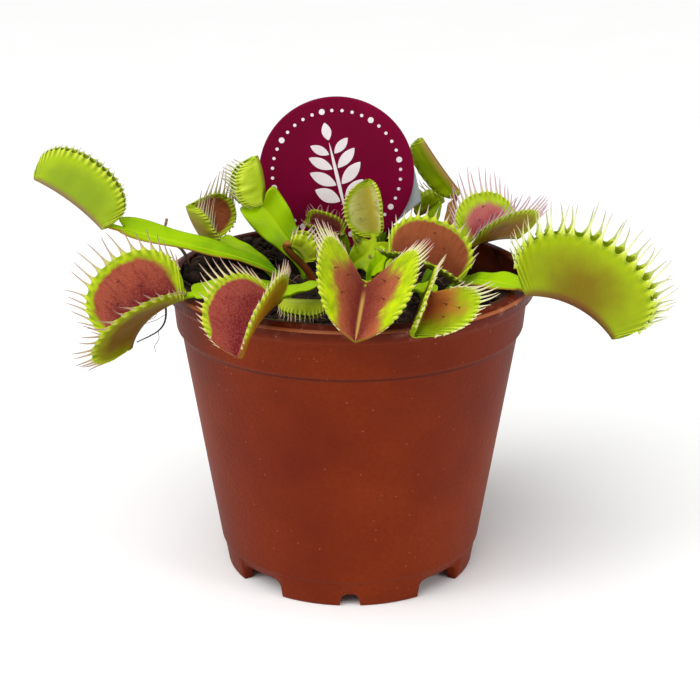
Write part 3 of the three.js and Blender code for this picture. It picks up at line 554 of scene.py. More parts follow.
# base is where the petiole leaves the soil, rise its climb before it turns outward, blade and fold its wings'
# full width and angle, heart how far their shoulders reach forward, arrive and lead how it comes up to the
# trap, and face where its upper side looks. The trap starts at `at`, sets out along az and el, and bends away
# from the mouth over its length long; roll turns the mouth about the midrib. wide is a lobe's width, gape its
# angle to the middle, cup its curl and fan its splay. teeth is the count a side; tooth, fade, rake, hook and
# web are their length, share of it at the far end, lean to that end, bend into the mouth and the depth of the
# dips between them, and bare the toothless shares at the two ends. Directions are azimuths and elevations.
LEAF_KEYS = ("base rise blade fold heart arrive lead face at az el roll long wide bend gape cup fan teeth "
             "tooth fade rake web hook bare look petiole").split()
LEAF_ROWS = {
    "leaf_far_left": ((-16, 5), 8, 9.5, 24, 8, (180, 18), 22, (-95, 62), (-57.7, -8, 88.2), 180, 50, -12,
        20.4, 11, 25, 4, 24, 14, 24, 1.2, 1, 0, 0.3, 1.2, (0, 0), "pod", "edged"),
    "leaf_left": ((-15, -4), 8, 8, 15, 1, (200, 0), 12, (-100, 60), (-38, -25, 76.6), 183, -16, -28, 22, 15,
        65, 39, 10, 12, 20, 6, 1, 0, 0.4, 0.1, (0, 0), "wine", "fresh"),
    "leaf_front_left": ((-1, -8), 8, 7, 12, 1, (232, 0), 12, None, (-15.8, -36.5, 79.8), 237, -6, 9, 19.8, 12,
        42, 40, 10, 0, 20, 5.5, 0.35, 0, 0.4, 0.1, (0, 0.1), "rose", "fresh"),
    "leaf_front": ((5, -11), 7, 8, 20, 1, (266, 5), 10, None, (3.4, -33, 81.3), 266, -2, -9, 19.4, 17, 38, 38,
        0, 12, 26, 5.5, 0.2, 0, 0.3, 0.1, (0.12, 0.12), "amber", "fresh"),
    "leaf_front_right": ((12.4, -9), 7, 9, 15, 1, (275, 5), 12, (-90, 50), (17.3, -38.5, 81.2), 250, -38, -42,
        11, 16.5, 10, 20, 0, 3, 17, 6.5, 0.3, 0, 0.3, 0.1, (0.12, 0), "bronze", "fresh"),
    "leaf_right": ((24, 5), 6, 8, 15, 1, (-60, 5), 14, (-120, 60), (40.5, -22, 76.8), -22, 10, 6, 25, 17.5,
        65, 4, 22, 15, 22, 7, 1, 0, 1.5, 0.25, (0, 0), "lime", "edged"),
    "leaf_middle_right": ((5, 6), 6, 9, 20, 1, (-40, 50), 6, (-100, 40), (9, -3, 80.2), -20, 1, 20, 19, 11,
        42, 48, 10, 11, 16, 3, 0.9, 0, 0.6, 0.1, (0, 0), "russet", "fresh"),
    "leaf_right_rear": ((18, 4), 6, 6, 20, 1, (35, 20), 6, None, (29, 14, 77.2), 41, 11, 9, 20, 11.5, 27, 36,
        10, 10, 20, 6.5, 0.8, 0, 0.3, 0.1, (0, 0), "pink", "edged"),
    "leaf_tall_right": ((24, 24), 10, 3.5, 20, 0, (60, 70), 8, None, (27.5, 28, 86.8), 175, 51, 145, 17.3,
        5.3, 9, 9, 20, 8, 12, 1, 1, 0, 0, 0.6, (0, 0), "pod", "brown"),
    "leaf_egg": ((0.5, 13.5), 7, 17, 20, 3, (60, 75), 9, (-90, 10), (6.2, 15.5, 79), 165, 81, -97, 14.4, 7.4,
        10, 40, 50, -8, 16, 0.8, 3, 0, 0.15, 0.3, (0, 0), "sage", "blotched"),
    "leaf_small_pink": ((-1, 20.5), 7, 3, 15, 1, (150, 70), 5, (-80, 25), (-1.6, 19, 78.9), 172, 19, -54, 10,
        5, 13, 25, 30, 9, 13, 4, 1, 0, 0.2, 0.1, (0, 0), "maroon", "fresh"),
    "leaf_left_rear": ((-18.5, 10.5), 6, 7.5, 10, 0, (150, 10), 7, (-95, 50), (-34.6, 14, 77.9), 180, 50, -18,
        11, 10.5, -30, 44, 30, 15, 16, 1.2, 7, 1.4, 0.3, 0.1, (0, 0), "russet", "fresh"),
    "leaf_left_tall": ((-11.5, 16), 6, 14.5, 14, 6, (135, 60), 4, (-85, 25), (-22.5, 18.6, 86.5), 178, 94,
        -150, 12.5, 7.2, -25, 10, 22, 10, 16, 3, 1.4, 1, 0.2, 0.2, (0, 0), "young", "fresh"),
    "leaf_young": ((-9, 8), 6, 1.9, 0, 0, (10, 0), 6, None, (-14.6, 4, 80.9), -5, -15, 10, 7, 4.2, 60, 15, 40,
        5, 9, 3, 1, 0, 0.1, 0.2, (0, 0), "sage", "brown"),
    "leaf_low_front": ((-3, -14), 3, 5, 10, 0, (200, 5), 3, None, (-5.5, -22.5, 73.6), 188, 0, -128, 11, 3.6,
        12, 8, 0, 8, 16, 1.2, 2, 0, 0.2, 0.1, (0, 0), "sage", "fresh"),
    "leaf_right_back": ((20, 32), 8, 5, 15, 1, (60, 60), 5, None, (23.8, 36, 84), 180, -38, 10, 7.8, 3.8, -15,
        12, 35, 10, 9, 3.2, 1, 0.3, 0.2, 0.1, (0, 0), "pod", "fresh"),
    "leaf_back_left": ((-9, 31), 7, 7, 15, 1, (95, 5), 6, None, (-12, 38.4, 80), 98, -4, 8, 15.4, 12, 45, 36,
        10, 10, 18, 5, 0.8, 0, 0.3, 0.1, (0, 0), "rose", "fresh"),
    "leaf_back_right": ((8, 32), 6, 7, 15, 1, (85, 0), 6, None, (7, 38.4, 79.5), 84, -8, -5, 14.8, 12, 50, 30,
        15, 10, 18, 5, 0.8, 0, 0.3, 0.1, (0, 0), "amber", "fresh"),
}


def smooth(u, low, high):
    """0 below low, 1 above high and 3w^2 - 2w^3 between."""
    w = np.clip((u - low) / (high - low), 0, 1)
    return w * w * (3 - 2 * w)


def unit(vectors):
    return vectors / np.linalg.norm(vectors, axis=-1, keepdims=True)


def towards(azimuth, elevation):
    """Unit vector at an azimuth from +X towards +Y and an elevation, in degrees."""
    a, e = math.radians(azimuth), math.radians(elevation)
    return np.array([math.cos(e) * math.cos(a), math.cos(e) * math.sin(a), math.sin(e)])


def trap_axes(leaf):
    """Directions at a trap's start: along the midrib, into the mouth, and to the right-hand lobe."""
    along = towards(leaf["az"], leaf["el"])
    level = towards(leaf["az"] - 90, 0)
    roll = math.radians(leaf["roll"])
    mouth = np.cross(level, along) * math.cos(roll) + level * math.sin(roll)
    return along, mouth, np.cross(along, mouth)


def midrib(leaf, t):
    """Point, forward direction and mouth direction at share t of an arc that bends away from the mouth."""
    along, mouth, side = trap_axes(leaf)
    bend = math.radians(leaf["bend"])
    radius = leaf["long"] / bend
    turn = np.asarray(bend * t)[..., None]
    point = np.array(leaf["at"]) + radius * np.sin(turn) * along - radius * (1 - np.cos(turn)) * mouth
    return point, np.cos(turn) * along - np.sin(turn) * mouth, np.cos(turn) * mouth + np.sin(turn) * along, side


def lobe_width(leaf, t):
    """Width of a lobe at share t of the midrib: a blunt half-moon, wide (0.1 + 0.9 sqrt(1 - |2t - 1|^2.4))."""
    return leaf["wide"] * (0.1 + 0.9 * np.sqrt(np.maximum(0, 1 - np.abs(2 * t - 1) ** 2.4)))


def lobe(leaf, t, v, longer=0.0):
    """Inner face of a trap at share t of the midrib and v from -1, the left margin, to 1, the right one: the
    lobe leaves the midrib at the gape and curls in evenly over its width, and its ends splay along the midrib.
    longer adds to the width."""
    point, ahead, opening, side = midrib(leaf, t)
    share = np.abs(v)
    width = lobe_width(leaf, t) + longer
    splay = math.radians(leaf["fan"]) * (2 * t - 1)
    gape, cup = math.radians(leaf["gape"]), math.radians(leaf["cup"])
    if cup:
        first = gape + cup / 2
        inward = (math.sin(first) - np.sin(first - cup * share)) / cup
        outward = (np.cos(first - cup * share) - math.cos(first)) / cup
    else:
        inward, outward = math.cos(gape) * share, math.sin(gape) * share
    return (point + (width * np.cos(splay) * inward)[..., None] * opening
            + (width * np.cos(splay) * outward * np.sign(v))[..., None] * side
            + (width * np.sin(splay) * share)[..., None] * ahead)


def lobe_normal(leaf, t, v):
    """Outward normal of a lobe, away from the mouth."""
    across = lobe(leaf, t, np.minimum(v + 0.02, 1.0)) - lobe(leaf, t, np.maximum(v - 0.02, -1.0))
    return unit(np.cross(midrib(leaf, t)[1] + 0 * across, across))


def row_share(q):
    """Share of the midrib for evenly spaced rows q, closer together towards the ends."""
    return 0.5 - 0.5 * np.cos(np.pi * q)


def from_margin(leaf, t, v):
    """Distance of a lobe's points from its toothed outline, on the lobe laid flat as (long t, width |v|)."""
    along = row_share(np.linspace(0, 1, 90))
    along = along[(along >= leaf["bare"][0]) & (along <= 1 - leaf["bare"][1])]
    off_x = leaf["long"] * (t[..., None] - along)
    off_y = (lobe_width(leaf, t) * np.abs(v))[..., None] - lobe_width(leaf, along)
    return np.hypot(off_x, off_y).min(-1)


def tooth_places(leaf, sign, seed):
    """Row places of the teeth of one lobe, staggered against the other lobe's and a little uneven."""
    rng = np.random.default_rng(seed)
    count = leaf["teeth"]
    place = np.arange(count) + (0.6 if sign > 0 else 0.35) + 0.3 * (rng.random(count) - 0.5)
    return TOOTHED_FROM + TOOTHED * place / count


def trap_part(leaf, seed):
    """The two lobes as one closed skin. Each row is a loop: over the inner face from the left margin to the
    right one, round the rim, back over the outer face and round the other rim. A wave along the margin, 1 at
    each tooth and -1 between, swells the skin into beads and draws the margin in between the teeth."""
    rows = ROWS_A_TOOTH * leaf["teeth"]
    q = np.linspace(0, 1, rows)[:, None]
    t = row_share(q)
    half = np.sin(np.pi / 2 * np.linspace(0, 1, ACROSS + 1))
    v = np.concatenate([-half[::-1], half[1:]])[None, :]
    wave = np.zeros((rows, v.shape[1]))
    for sign in (-1, 1):
        near = np.abs(q - tooth_places(leaf, sign, seed + sign)[None, :]).min(axis=1)
        gap = TOOTHED / leaf["teeth"] / 2
        wave[:, (v * sign > 0)[0]] = np.cos(np.pi * np.clip(near / gap, 0, 1))[:, None]
    t, v = t + 0 * v, v + 0 * t
    ends = smooth(q, 0.03, 0.08) * smooth(1 - q, 0.03, 0.08)
    hollow = np.sqrt((1 - wave) / 2) * smooth(np.abs(v), 0.72, 1.0) * ends
    inner = lobe(leaf, t, v, -leaf["web"] * hollow)
    normal = lobe_normal(leaf, t, v)
    short = min(2.0, 0.5 + 0.1 * leaf["wide"]) + 0.8 * leaf["web"]
    beads = (1 - smooth(from_margin(leaf, t, v), 0.3, short)) * wave * ends
    swell = 0.04 + 0.005 * leaf["wide"]
    lumps = lattice(30 * t + seed, leaf["wide"] * v, 3.2, seed) * smooth(np.abs(v), 0.1, 0.4)
    thick = LOBE_THICK + (RIB_THICK - LOBE_THICK) * np.exp(-((v / 0.1) ** 2))
    thick = thick - 0.25 * smooth(np.abs(v), 0.7, 1.0)
    outer = inner + normal * (UNEVEN * lumps + thick + swell * beads)[..., None]
    inner = inner + normal * (UNEVEN * lumps - swell * beads)[..., None]
    middle, reach = (inner + outer) / 2, (inner - outer) / 2
    edge = {1: unit(middle[:, -1] - middle[:, -3]), -1: unit(middle[:, 0] - middle[:, 2])}
    rounds = {}
    for sign, column in ((1, -1), (-1, 0)):
        size = np.linalg.norm(reach[:, column], axis=-1, keepdims=True)
        rounds[sign] = np.stack([middle[:, column] + math.cos(a) * reach[:, column] * sign
                                 + math.sin(a) * size * edge[sign] for a in np.radians([45, 90, 135])], 1)
    loop = np.concatenate([inner, rounds[1], outer[:, ::-1], rounds[-1]], axis=1)

    def around(values, more=0):
        """Values for every loop and cap from those of the inner face, which gets more added and a rim half."""
        rim = [np.repeat(values[:, [side]], 3, 1) + more / 2 for side in (-1, 0)]
        whole = np.concatenate([values + more, rim[0], values[:, ::-1], rim[1]], axis=1)
        return np.concatenate([whole[:1], whole, whole[-1:]])

    ahead = midrib(leaf, t[:, 0])[1]
    caps = [ring.mean(1, keepdims=True) / 2 + ring / 2 + way
            for ring, way in ((loop[:1], -0.35 * ahead[0]), (loop[-1:], 0.35 * ahead[-1]))]
    loop = np.concatenate([caps[0], loop, caps[1]])
    return skinned(loop, 0, reach=around(np.abs(v)), inside=around(0 * v, 1), along=around(t * leaf["long"]),
                   across=around(np.abs(v) * leaf["wide"]), edge=around(from_margin(leaf, t, v)),
                   bead=around(0.5 + 0.5 * wave))


def teeth_part(leaf, seed):
    """The marginal teeth: tapering six-sided spines, flattened and broad at the root along the margin. They
    continue the lobe's own plane, raked towards the trap's far end, and bend into the mouth by the hook, as s^2
    along their length. They are longest in the middle, and fade shortens those of the trap's far end."""
    rng = np.random.default_rng(seed + 50)
    paths, broads, flats, tangents = [], [], [], []
    s = np.array([0, 0.1, 0.22, 0.4, 0.6, 0.8, 1.0])[None, :, None]
    for sign in (-1, 1):
        t = row_share(tooth_places(leaf, sign, seed + sign))
        margin = lobe(leaf, t, sign + 0 * t)
        way = unit(margin - lobe(leaf, t, 0.85 * sign + 0 * t))
        way = unit(way + leaf["rake"] * midrib(leaf, t)[1])
        normal = lobe_normal(leaf, t, sign + 0 * t)
        tangent = unit(np.cross(way, normal))
        fade = 1 - (1 - leaf["fade"]) * smooth(t, 0.35, 0.62)
        length = leaf["tooth"] * (0.55 + 0.45 * np.sin(np.pi * t)) * fade
        length = length * (0.85 + 0.3 * rng.random(len(t)))
        sunk = 0.5 + leaf["web"] * 0.5
        root = margin + 0.35 * LOBE_THICK * normal - sunk * way
        full = (length + sunk)[:, None, None]
        lean = (leaf["hook"] + 0.08 * (rng.random(len(t)) - 0.5))[:, None] * -normal
        lean = lean + 0.09 * rng.normal(size=(len(t), 1)) * tangent
        paths.append(root[:, None] + (way[:, None] * s + lean[:, None] * s**2) * full)
        spacing = np.gradient(margin, axis=0)
        foot = 0.34 * np.linalg.norm(spacing, axis=1) * (1 + 0.2 * leaf["web"])
        broads.append(np.clip(foot, 0.15, 0.85) * np.minimum(1, 0.4 + length / 4))
        tangents.append(tangent)
        flats.append(normal)
    path, foot = np.concatenate(paths), np.concatenate(broads)[:, None]
    wide, thin = np.concatenate(tangents)[:, None, None], np.concatenate(flats)[:, None, None]
    angle = np.linspace(0, 2 * np.pi, 7)[:-1][None, None, :, None]
    shaft = np.minimum(0.24, 0.5 * foot)
    broad = foot * np.array([1.25, 0.8, 0.25, 0, 0, 0, 0])
    broad = broad + shaft * np.array([0, 0.2, 0.75, 0.85, 0.68, 0.48, 0.18])
    slim = shaft * np.array([1.3, 1.15, 0.95, 0.8, 0.64, 0.45, 0.18])
    rings = (path[:, :, None] + broad[:, :, None, None] * np.cos(angle) * wide
             + slim[:, :, None, None] * np.sin(angle) * thin)
    up = s[..., 0][:, :, None] + np.zeros((len(path), 1, 6))
    return skinned(rings, 1, rise=up)


def hair_part(leaf):
    """Three trigger hairs on each inner face, in a triangle: short spines on dark, flared feet."""
    t = np.array([0.36, 0.62, 0.48] * 2)
    v = np.array([0.42, 0.45, 0.68, -0.42, -0.45, -0.68])
    foot = lobe(leaf, t, v)
    normal = lobe_normal(leaf, t, v)
    lean = unit(-normal + 0.35 * midrib(leaf, t)[1])
    s = np.array([-0.12, 0.06, 0.2, 0.6, 1.0])[None, :, None]
    size = 0.08 * leaf["wide"] + 0.3
    path = foot[:, None] + lean[:, None] * size * s
    radii = np.array([[0.2, 0.14, 0.08, 0.05, 0.02]]) + 0 * t[:, None]
    return skinned(strands(path, radii * min(1, 0.3 + leaf["wide"] / 20), 7), 2)


def petiole_part(leaf):
    """The petiole: a cubic curve from the soil into the trap, carrying a winged section that is narrow at the
    foot, widens outward as u^1.3 (1 - u^7)^0.5 and ends in square shoulders before a bare stalk. The wings
    fold up from the middle, ripple at their edges and carry a keel below. Without wings it stays round."""
    along, mouth, _ = trap_axes(leaf)
    base = np.array([*leaf["base"], soil_height(*map(float, leaf["base"])) + COLLAR])
    end = np.array(leaf["at"]) + 0.8 * along
    climb = base + [0, 0, leaf["rise"]]
    turn = end - leaf["lead"] * towards(*leaf["arrive"])
    s = np.concatenate([[0], np.linspace(0, 0.8, 45), np.linspace(0.81, 1, 40)])[:, None]
    centre = (1 - s) ** 3 * base + 3 * s * (1 - s) ** 2 * climb + 3 * s * s * (1 - s) * turn + s**3 * end
    ahead = unit((1 - s) ** 2 * (climb - base) + 2 * s * (1 - s) * (turn - climb) + s * s * (end - turn))
    centre[0, 2] -= FOOT_DEPTH
    outward = np.array([leaf["at"][0] - leaf["base"][0], leaf["at"][1] - leaf["base"][1], 0.0])
    looks = towards(*leaf["face"]) if leaf["face"] else np.array([0, 0, 1]) - 0.8 * unit(outward)
    upper = looks + (mouth - looks) * smooth(s, 0.8, 1.0)
    upper = unit(upper - (upper * ahead).sum(1, keepdims=True) * ahead)
    right = np.cross(ahead, upper)
    grown = np.clip((s - 0.05) / (BLADE_END - 0.05), 0, 1)
    shape = np.where(s < BLADE_END, grown**1.3 * np.sqrt(np.maximum(0, 1 - grown**7)) * 1.12, 0)
    width = STALK_WIDTH + (leaf["blade"] - STALK_WIDTH) * shape
    fold = math.radians(leaf["fold"]) * np.minimum(1, width / 5)
    slim = 0.4 if leaf["blade"] > 2 else 0.9
    thick = FOOT_HALF + (slim - FOOT_HALF) * smooth(s, 0.02, 0.25)
    a = np.concatenate([np.linspace(-1, 1, 17), np.linspace(1, -1, 17)[1:-1]])[None, :]
    top = np.concatenate([np.ones(17), np.zeros(15)])[None, :]
    ripple = 0.05 * leaf["blade"] * shape * np.sin(9 * np.pi * s + leaf["az"]) * a**2 * np.sign(a)
    lift = width / 2 * np.sin(fold) * np.abs(a) ** 1.3 + ripple
    edge_on = np.sqrt(np.maximum(0.12, 1 - a**6))
    upside = thick * (0.6 + 0.4 * (1 - a**2)) * edge_on - 0.18 * np.exp(-((a / 0.1) ** 2)) * shape
    keel = np.maximum(0, np.maximum(thick, 0.7) - 0.6 * thick) * np.exp(-((a * width / 2 / 0.7) ** 2))
    height = lift + np.where(top > 0, upside, -(0.6 * thick * edge_on + keel))
    spread = width / 2 * np.cos(fold) * a
    forward = leaf["heart"] * np.abs(a) ** 1.6 * smooth(s, 0.55, BLADE_END) * shape
    rings = (centre[:, None] + right[:, None] * spread[..., None] + upper[:, None] * height[..., None]
             + ahead[:, None] * forward[..., None])
    return skinned(rings, 3, reach=np.abs(a) + 0 * s, inside=top + 0 * s, share=s + 0 * a,
                   lower=a * np.sign(-right[:, 2:]), along=s * np.linalg.norm(end - base) + 0 * a,
                   across=a * width / 2 + 7 * top)


def trap_skin(name, deep, flesh, band, rim, back, olive, rib, rib_share, gloss=0.0, glands=0.2, turn=7.0):
    """Living trap skin. Inside, a field of red pigment ends in a green margin over band, in mm from the
    outline; it deepens towards the midrib, with radial streaks 0.6 mm apart and pale pink dots 0.4 mm apart on
    the glands, painted glints of light.
    Outside, a waxy green that turns olive within turn mm of the margin and brown along the midrib. The
    margin's beads are pale and the dips between them dark."""
    made, tree, shader, place = start(name, {
        "Roughness": 0.6, "IOR": 1.42, "Specular IOR Level": 0.1, "Subsurface Weight": 0.12,
        "Subsurface Scale": 0.0008, "Subsurface Radius": (1.0, 0.9, 0.3), "Coat Weight": gloss,
        "Coat Roughness": 0.3})
    reach, inside, along, across, edge, bead = (
        add(tree, "Attribute", {"attribute_name": key}, {}, 2)
        for key in ("reach", "inside", "along", "across", "edge", "bead"))
    flow = add(tree, "CombineXYZ", {}, {"X": along, "Y": across, "Z": inside})
    stretch = add(tree, "Mapping", {}, {"Vector": flow, "Scale": (1 / 0.6, 1 / 5, 1.0)})
    streak = add(tree, "TexNoise", {}, {"Vector": stretch, "Scale": 1.0, "Detail": 4.0})
    cloud = add(tree, "TexNoise", {}, {"Vector": place, "Scale": 1000 / 3.5, "Detail": 5.0})
    gland = add(tree, "TexVoronoi", {}, {"Vector": place, "Scale": 1000 / 0.4})
    # inside: the red field, with a pale line along the midrib's outer part
    depth = add(tree, "Math", TIMES_PLUS, {0: cloud, 1: 0.7, 2: reach})
    tone = add(tree, "MapRange", SOFT, {"Value": depth, "From Min": 0.35, "From Max": 1.15})
    dark = add(tree, "MapRange", {}, {"Value": streak, "From Min": 0.5, "From Max": 0.3, "To Max": 0.5})
    # painted highlight: pale pink dots on the glands stand in for glints of light off them
    painted_glint = add(tree, "MapRange", {},
                {"Value": gland, "From Min": 0.10, "From Max": 0.55, "To Min": glands, "To Max": 0.0})
    ribbed = add(tree, "MapRange", SOFT,
                 {"Value": reach, "From Min": 0.01, "From Max": 0.06, "To Min": rib_share, "To Max": 0.0})
    outward = add(tree, "MapRange", SOFT, {"Value": along, "From Min": 2.0, "From Max": 9.0})
    ribbed = add(tree, "Math", TIMES, {0: ribbed, 1: outward})
    inner = add(tree, "Mix", TINT, {"Factor": tone, 6: colour(deep), 7: colour(flesh)}, 2)
    for share, tint in ((dark, deep), (painted_glint, "#c88c80"), (ribbed, "#d9b45c")):
        inner = add(tree, "Mix", TINT, {"Factor": share, 6: inner, 7: colour(tint)}, 2)
    # inside: the green margin
    green = add(tree, "MapRange", {}, {"Value": cloud, "From Min": 0.35, "From Max": 0.7})
    margin = add(tree, "Mix", TINT, {"Factor": green, 6: colour(rim), 7: colour("#86a508")}, 2)
    uneven = add(tree, "Math", TIMES_PLUS, {0: streak, 1: 0.5 * band[1], 2: edge})
    uneven = add(tree, "Math", TIMES_PLUS, {0: cloud, 1: 0.4 * band[1], 2: uneven})
    red = add(tree, "MapRange", SOFT,
              {"Value": uneven, "From Min": band[0] + 0.4 * band[1], "From Max": 1.4 * band[1]})
    inner = add(tree, "Mix", TINT, {"Factor": red, 6: margin, 7: inner}, 2)
    # outside
    far = add(tree, "Math", TIMES_PLUS, {0: cloud, 1: 4.0, 2: edge})
    low = add(tree, "MapRange", SOFT, {"Value": far, "From Min": 2.6, "From Max": turn})
    vein = add(tree, "MapRange", {}, {"Value": streak, "From Min": 0.5, "From Max": 0.75, "To Max": 0.05})
    brown = add(tree, "MapRange", SOFT,
                {"Value": reach, "From Min": 0.0, "From Max": 0.13, "To Min": 0.8, "To Max": 0.0})
    outer = colour(back)
    for share, tint in ((low, olive), (vein, rim), (brown, rib)):
        outer = add(tree, "Mix", TINT, {"Factor": share, 6: outer, 7: colour(tint)}, 2)
    base = add(tree, "Mix", TINT, {"Factor": inside, 6: outer, 7: inner}, 2)
    # beads and dips of the margin
    lip = add(tree, "MapRange", SOFT,
              {"Value": edge, "From Min": 0.2, "From Max": 1.5, "To Min": 0.8, "To Max": 0.0})
    beads = add(tree, "Mix", TINT, {"Factor": bead, 6: colour("#7a9604"), 7: colour("#ced83a")}, 2)
    base = add(tree, "Mix", TINT, {"Factor": lip, 6: base, 7: beads}, 2)
    pores = add(tree, "Mix", {}, {"Factor": inside, 2: streak, 3: gland})
    bump = add(tree, "Bump", {}, {"Strength": 0.35, "Distance": 0.00012, "Height": pores})
    rough = add(tree, "MapRange", {}, {"Value": inside, "To Min": 0.6, "To Max": 0.66})
    wire(tree, shader, {"Base Color": base, "Roughness": rough, "Normal": bump})
    return made


def petiole_skin(name, fresh, deep, under, tan_edge, blotch):
    """Waxy petiole skin: green that deepens towards the foot, parallel veins about 0.7 mm apart, a pale middle
    line, an underside and lower edge tinged brown, and dead brown blotches where blotch is above 0."""
    made, tree, shader, place = start(name, {
        "Roughness": 0.5, "IOR": 1.42, "Specular IOR Level": 0.12, "Subsurface Weight": 0.12,
        "Subsurface Scale": 0.0008, "Subsurface Radius": (0.9, 1.0, 0.3), "Coat Weight": 0.03,
        "Coat Roughness": 0.25})
    reach, inside, share, lower, along, across = (
        add(tree, "Attribute", {"attribute_name": key}, {}, 2)
        for key in ("reach", "inside", "share", "lower", "along", "across"))
    flow = add(tree, "CombineXYZ", {}, {"X": along, "Y": across})
    stretch = add(tree, "Mapping", {}, {"Vector": flow, "Scale": (1 / 9, 1 / 0.7, 1.0)})
    vein = add(tree, "TexNoise", {}, {"Vector": stretch, "Scale": 1.0, "Detail": 3.0})
    cloud = add(tree, "TexNoise", {}, {"Vector": place, "Scale": 1000 / 6, "Detail": 3.0})
    grown = add(tree, "Math", TIMES_PLUS, {0: cloud, 1: 0.5, 2: share})
    tone = add(tree, "MapRange", SOFT, {"Value": grown, "From Min": 0.45, "From Max": 1.05})
    line = add(tree, "MapRange", {}, {"Value": vein, "From Min": 0.5, "From Max": 0.8, "To Max": 0.3})
    rib = add(tree, "MapRange", {}, {"Value": reach, "From Max": 0.14, "To Min": 0.45, "To Max": 0.0})
    below = add(tree, "Math", {"operation": "SUBTRACT"}, {0: 1.0, 1: inside})
    tan = add(tree, "Math", TIMES, {0: below, 1: 0.75})
    edge = add(tree, "MapRange", SOFT, {"Value": lower, "From Min": 0.62, "From Max": 0.95, "To Max": tan_edge})
    tan = add(tree, "Math", {"operation": "MAXIMUM"}, {0: tan, 1: edge})
    stain = add(tree, "TexNoise", {}, {"Vector": place, "Scale": 1000 / 3.5, "Detail": 3.0})
    dead = add(tree, "MapRange", {}, {"Value": stain, "From Min": 0.54, "From Max": 0.62, "To Max": blotch})
    base = colour(deep)
    for layer, tint in ((tone, fresh), (line, "#b6d408"), (rib, "#c0d81c"), (tan, under), (dead, "#5a4a30")):
        base = add(tree, "Mix", TINT, {"Factor": layer, 6: base, 7: colour(tint)}, 2)
    bump = add(tree, "Bump", {}, {"Strength": 0.3, "Distance": 0.0002, "Height": vein})
    wire(tree, shader, {"Base Color": base, "Normal": bump})
    return made


def tooth_skin(name, root, shaft, tip):
    """Horny tooth: green at the root, pale up the shaft, blushed at the tip."""
    made, tree, shader, place = start(name, {"Roughness": 0.4, "IOR": 1.45})
    rise = add(tree, "Attribute", {"attribute_name": "rise"}, {}, 2)
    vary = add(tree, "TexNoise", {}, {"Vector": place, "Scale": 1000 / 5})
    risen = add(tree, "Math", TIMES_PLUS, {0: vary, 1: 0.5, 2: rise})
    low = add(tree, "MapRange", {}, {"Value": rise, "From Max": 0.3})
    base = add(tree, "Mix", TINT, {"Factor": low, 6: colour(root), 7: colour(shaft)}, 2)
    high = add(tree, "MapRange", {}, {"Value": risen, "From Min": 0.7, "From Max": 1.3})
    base = add(tree, "Mix", TINT, {"Factor": high, 6: base, 7: colour(tip)}, 2)
    wire(tree, shader, {"Base Color": base})
    return made


# one row a look, in the order of trap_skin's, petiole_skin's and tooth_skin's own values
TRAP_TONES = {
    "lime": ("#7f5a20", "#a08428", (1.5, 4), "#b4cf0c", "#94a800", "#7c6a00", "#8c4f30", 0.3, 0.2, 0.2, 13.0),
    "pod": ("#7f5a20", "#a08428", (1.5, 4), "#b4cf0c", "#9ab400", "#86a000", "#8c4f30", 0.3, 0.35),
    # this look is the pod's tones made much brighter, as painted light for a trap that faces away from the
    # lamps
    "young": ("#a0a030", "#b8b840", (1.5, 4), "#d4ec30", "#d8f03c", "#b8d420", "#a8b430", 0.3, 0.35),
    "wine": ("#64101c", "#9c4a34", (1.2, 2.6), "#a8c00c", "#848800", "#6c4c00", "#7c5410", 0.0),
    "rose": ("#701a20", "#9a4438", (0.9, 1.8), "#b9c62a", "#978210", "#875c08", "#7a2a1c", 0.0),
    "amber": ("#84342a", "#a65a34", (3.2, 7.2), "#bcd00c", "#96a408", "#7a6408", "#8c6a2a", 0.8),
    "bronze": ("#a4542c", "#cc8c34", (0.8, 6.5), "#a8c410", "#9aa80c", "#7d6a08", "#8c6a2a", 0.8),
    "russet": ("#6a3218", "#8a4a2a", (0.6, 1.2), "#9ca81c", "#8f9a10", "#867410", "#806014", 0.1, 0.0, 0.0),
    "pink": ("#9c3646", "#bd6c68", (1.8, 4.2), "#b6d02a", "#8c8c08", "#7c5200", "#7c7010", 0.1),
    "maroon": ("#5c1e20", "#85463c", (0.4, 1.0), "#bcc640", "#a4a030", "#7c4a28", "#6a3018", 0.0),
    "sage": ("#b0a23c", "#dcdc8c", (0.6, 2.6), "#a9b80c", "#a8b618", "#9aa838", "#94a030", 0.0, 0.15, 0.0),
}
PETIOLE_TONES = {
    "fresh": ("#9ac000", "#588600", "#7f9a04", 0.2, 0),
    "edged": ("#9cc400", "#528400", "#96601e", 0.85, 0),
    "brown": ("#8a5a2a", "#82381c", "#6e3018", 0.0, 0),
    "blotched": ("#a8bf18", "#7a9a08", "#8a9420", 0.1, 0.8),
}
TOOTH_TONES = {
    "lime": ("#b8d024", "#dce49c", "#a8947c"),
    "pod": ("#b0cc2c", "#cfd4a0", "#a08c7c"),
    # painted light: the same trap's teeth are made brighter too
    "young": ("#d0e84c", "#e4e4b4", "#c0a090"),
    "wine": ("#b4c83a", "#b8a078", "#80505a"),
    "rose": ("#c6cc4e", "#d8c69c", "#96626c"),
    "amber": ("#b2cc34", "#ddd4a8", "#a8687c"),
    "bronze": ("#b2cc34", "#e2dcb0", "#c8b48c"),
    "russet": ("#aab43e", "#c8b894", "#94707a"),
    "pink": ("#b8cc4c", "#d0aeb0", "#b07f94"),
    "maroon": ("#c0bc60", "#cfa4a0", "#b07890"),
    "sage": ("#b6c43c", "#d6c4a8", "#b8808e"),
}
trap_skins = {look: trap_skin(look + "_trap_skin", *tones) for look, tones in TRAP_TONES.items()}
petiole_skins = {look: petiole_skin(look + "_petiole_skin", *tones) for look, tones in PETIOLE_TONES.items()}
tooth_skins = {look: tooth_skin(look + "_tooth", *tones) for look, tones in TOOTH_TONES.items()}
# a stiff horny bristle: dark red-brown, nearly matt
trigger_hair = start("trigger_hair", {"Base Color": colour("#3c1418"), "Roughness": 0.5})[0]

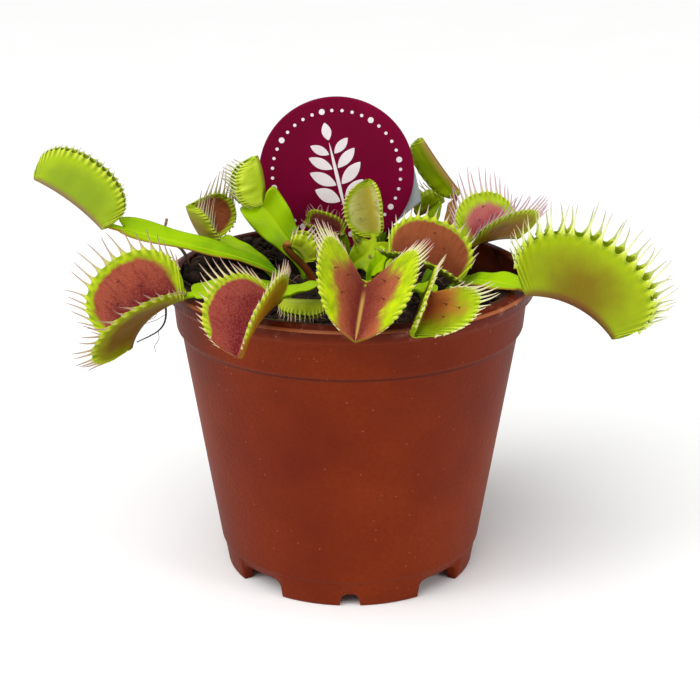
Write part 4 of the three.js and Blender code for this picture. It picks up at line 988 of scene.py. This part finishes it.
for number, (name, row) in enumerate(LEAF_ROWS.items()):
    leaf = dict(zip(LEAF_KEYS, row))
    seed, look = 11 * number + 5, leaf["look"]
    parts = [trap_part(leaf, seed), teeth_part(leaf, seed), hair_part(leaf), petiole_part(leaf)]
    skin_set = [trap_skins[look], tooth_skins[look], trigger_hair, petiole_skins[leaf["petiole"]]]
    piece(name + "_living", parts, skin_set, [name])

# ---------- Floor, light and camera ----------
# A sheet of matt white backing paper under a broad soft light from overhead and two round lamps, at the left
# and the right in front. The camera looks down at 19.3 degrees from 0.45 m. Places here are in metres.

SHEET_HALF = 6
CAMERA_AWAY, CAMERA_UP, AIM_UP = 0.42471, 0.20323, 0.0545
LAMP_AIM = np.array([0, 0, 0.06])
LAMPS = {"left_box": ((-0.6, -0.3, 0.4), 0.35, 1.6), "right_box": ((0.6, -0.4, 0.35), 0.35, 1.8)}


def set_up(name, data, spot, way):
    """A light or the camera at spot, looking along way."""
    made = bpy.data.objects.new(name, data)
    made.location = spot
    made.rotation_euler = Vector(way).to_track_quat("-Z", "Y").to_euler()
    bpy.context.scene.collection.objects.link(made)
    return made


floor_mesh = bpy.data.meshes.new("floor")
floor_mesh.from_pydata([(SHEET_HALF * x, SHEET_HALF * y, 0) for x, y in ((-1, -1), (1, -1), (1, 1), (-1, 1))],
                       [], [(0, 1, 2, 3)])
floor_mesh.materials.append(
    mottled("white_paper", {"Roughness": 0.9, "Specular IOR Level": 0.2}, 60, "#f4f4f3", "#f7f7f7"))
floor = bpy.data.objects.new("floor", floor_mesh)
bpy.context.scene.collection.objects.link(floor)

world = bpy.data.worlds.new("studio")
world.use_nodes = True
wire(world.node_tree, world.node_tree.nodes["Background"], {"Color": colour("#ffffff"), "Strength": 0.4})
bpy.context.scene.world = world

sun = bpy.data.lights.new("overhead", "SUN")
sun.energy, sun.angle = 2.4, math.radians(60)
set_up("overhead", sun, (0, 0, 0), (0.35, 0.5, -1.0))
for name, (spot, size, power) in LAMPS.items():
    lamp = bpy.data.lights.new(name, "AREA")
    lamp.shape, lamp.size, lamp.energy = "DISK", size, power
    set_up(name, lamp, spot, LAMP_AIM - np.array(spot))

eye = bpy.data.cameras.new("camera")
eye.lens, eye.sensor_width, eye.clip_start, eye.clip_end = 93.86, 36, 0.01, 30
bpy.context.scene.camera = set_up("camera", eye, (0, -CAMERA_AWAY, CAMERA_UP),
                                  (0, CAMERA_AWAY, AIM_UP - CAMERA_UP))
bpy.context.scene.view_settings.view_transform = "Standard"
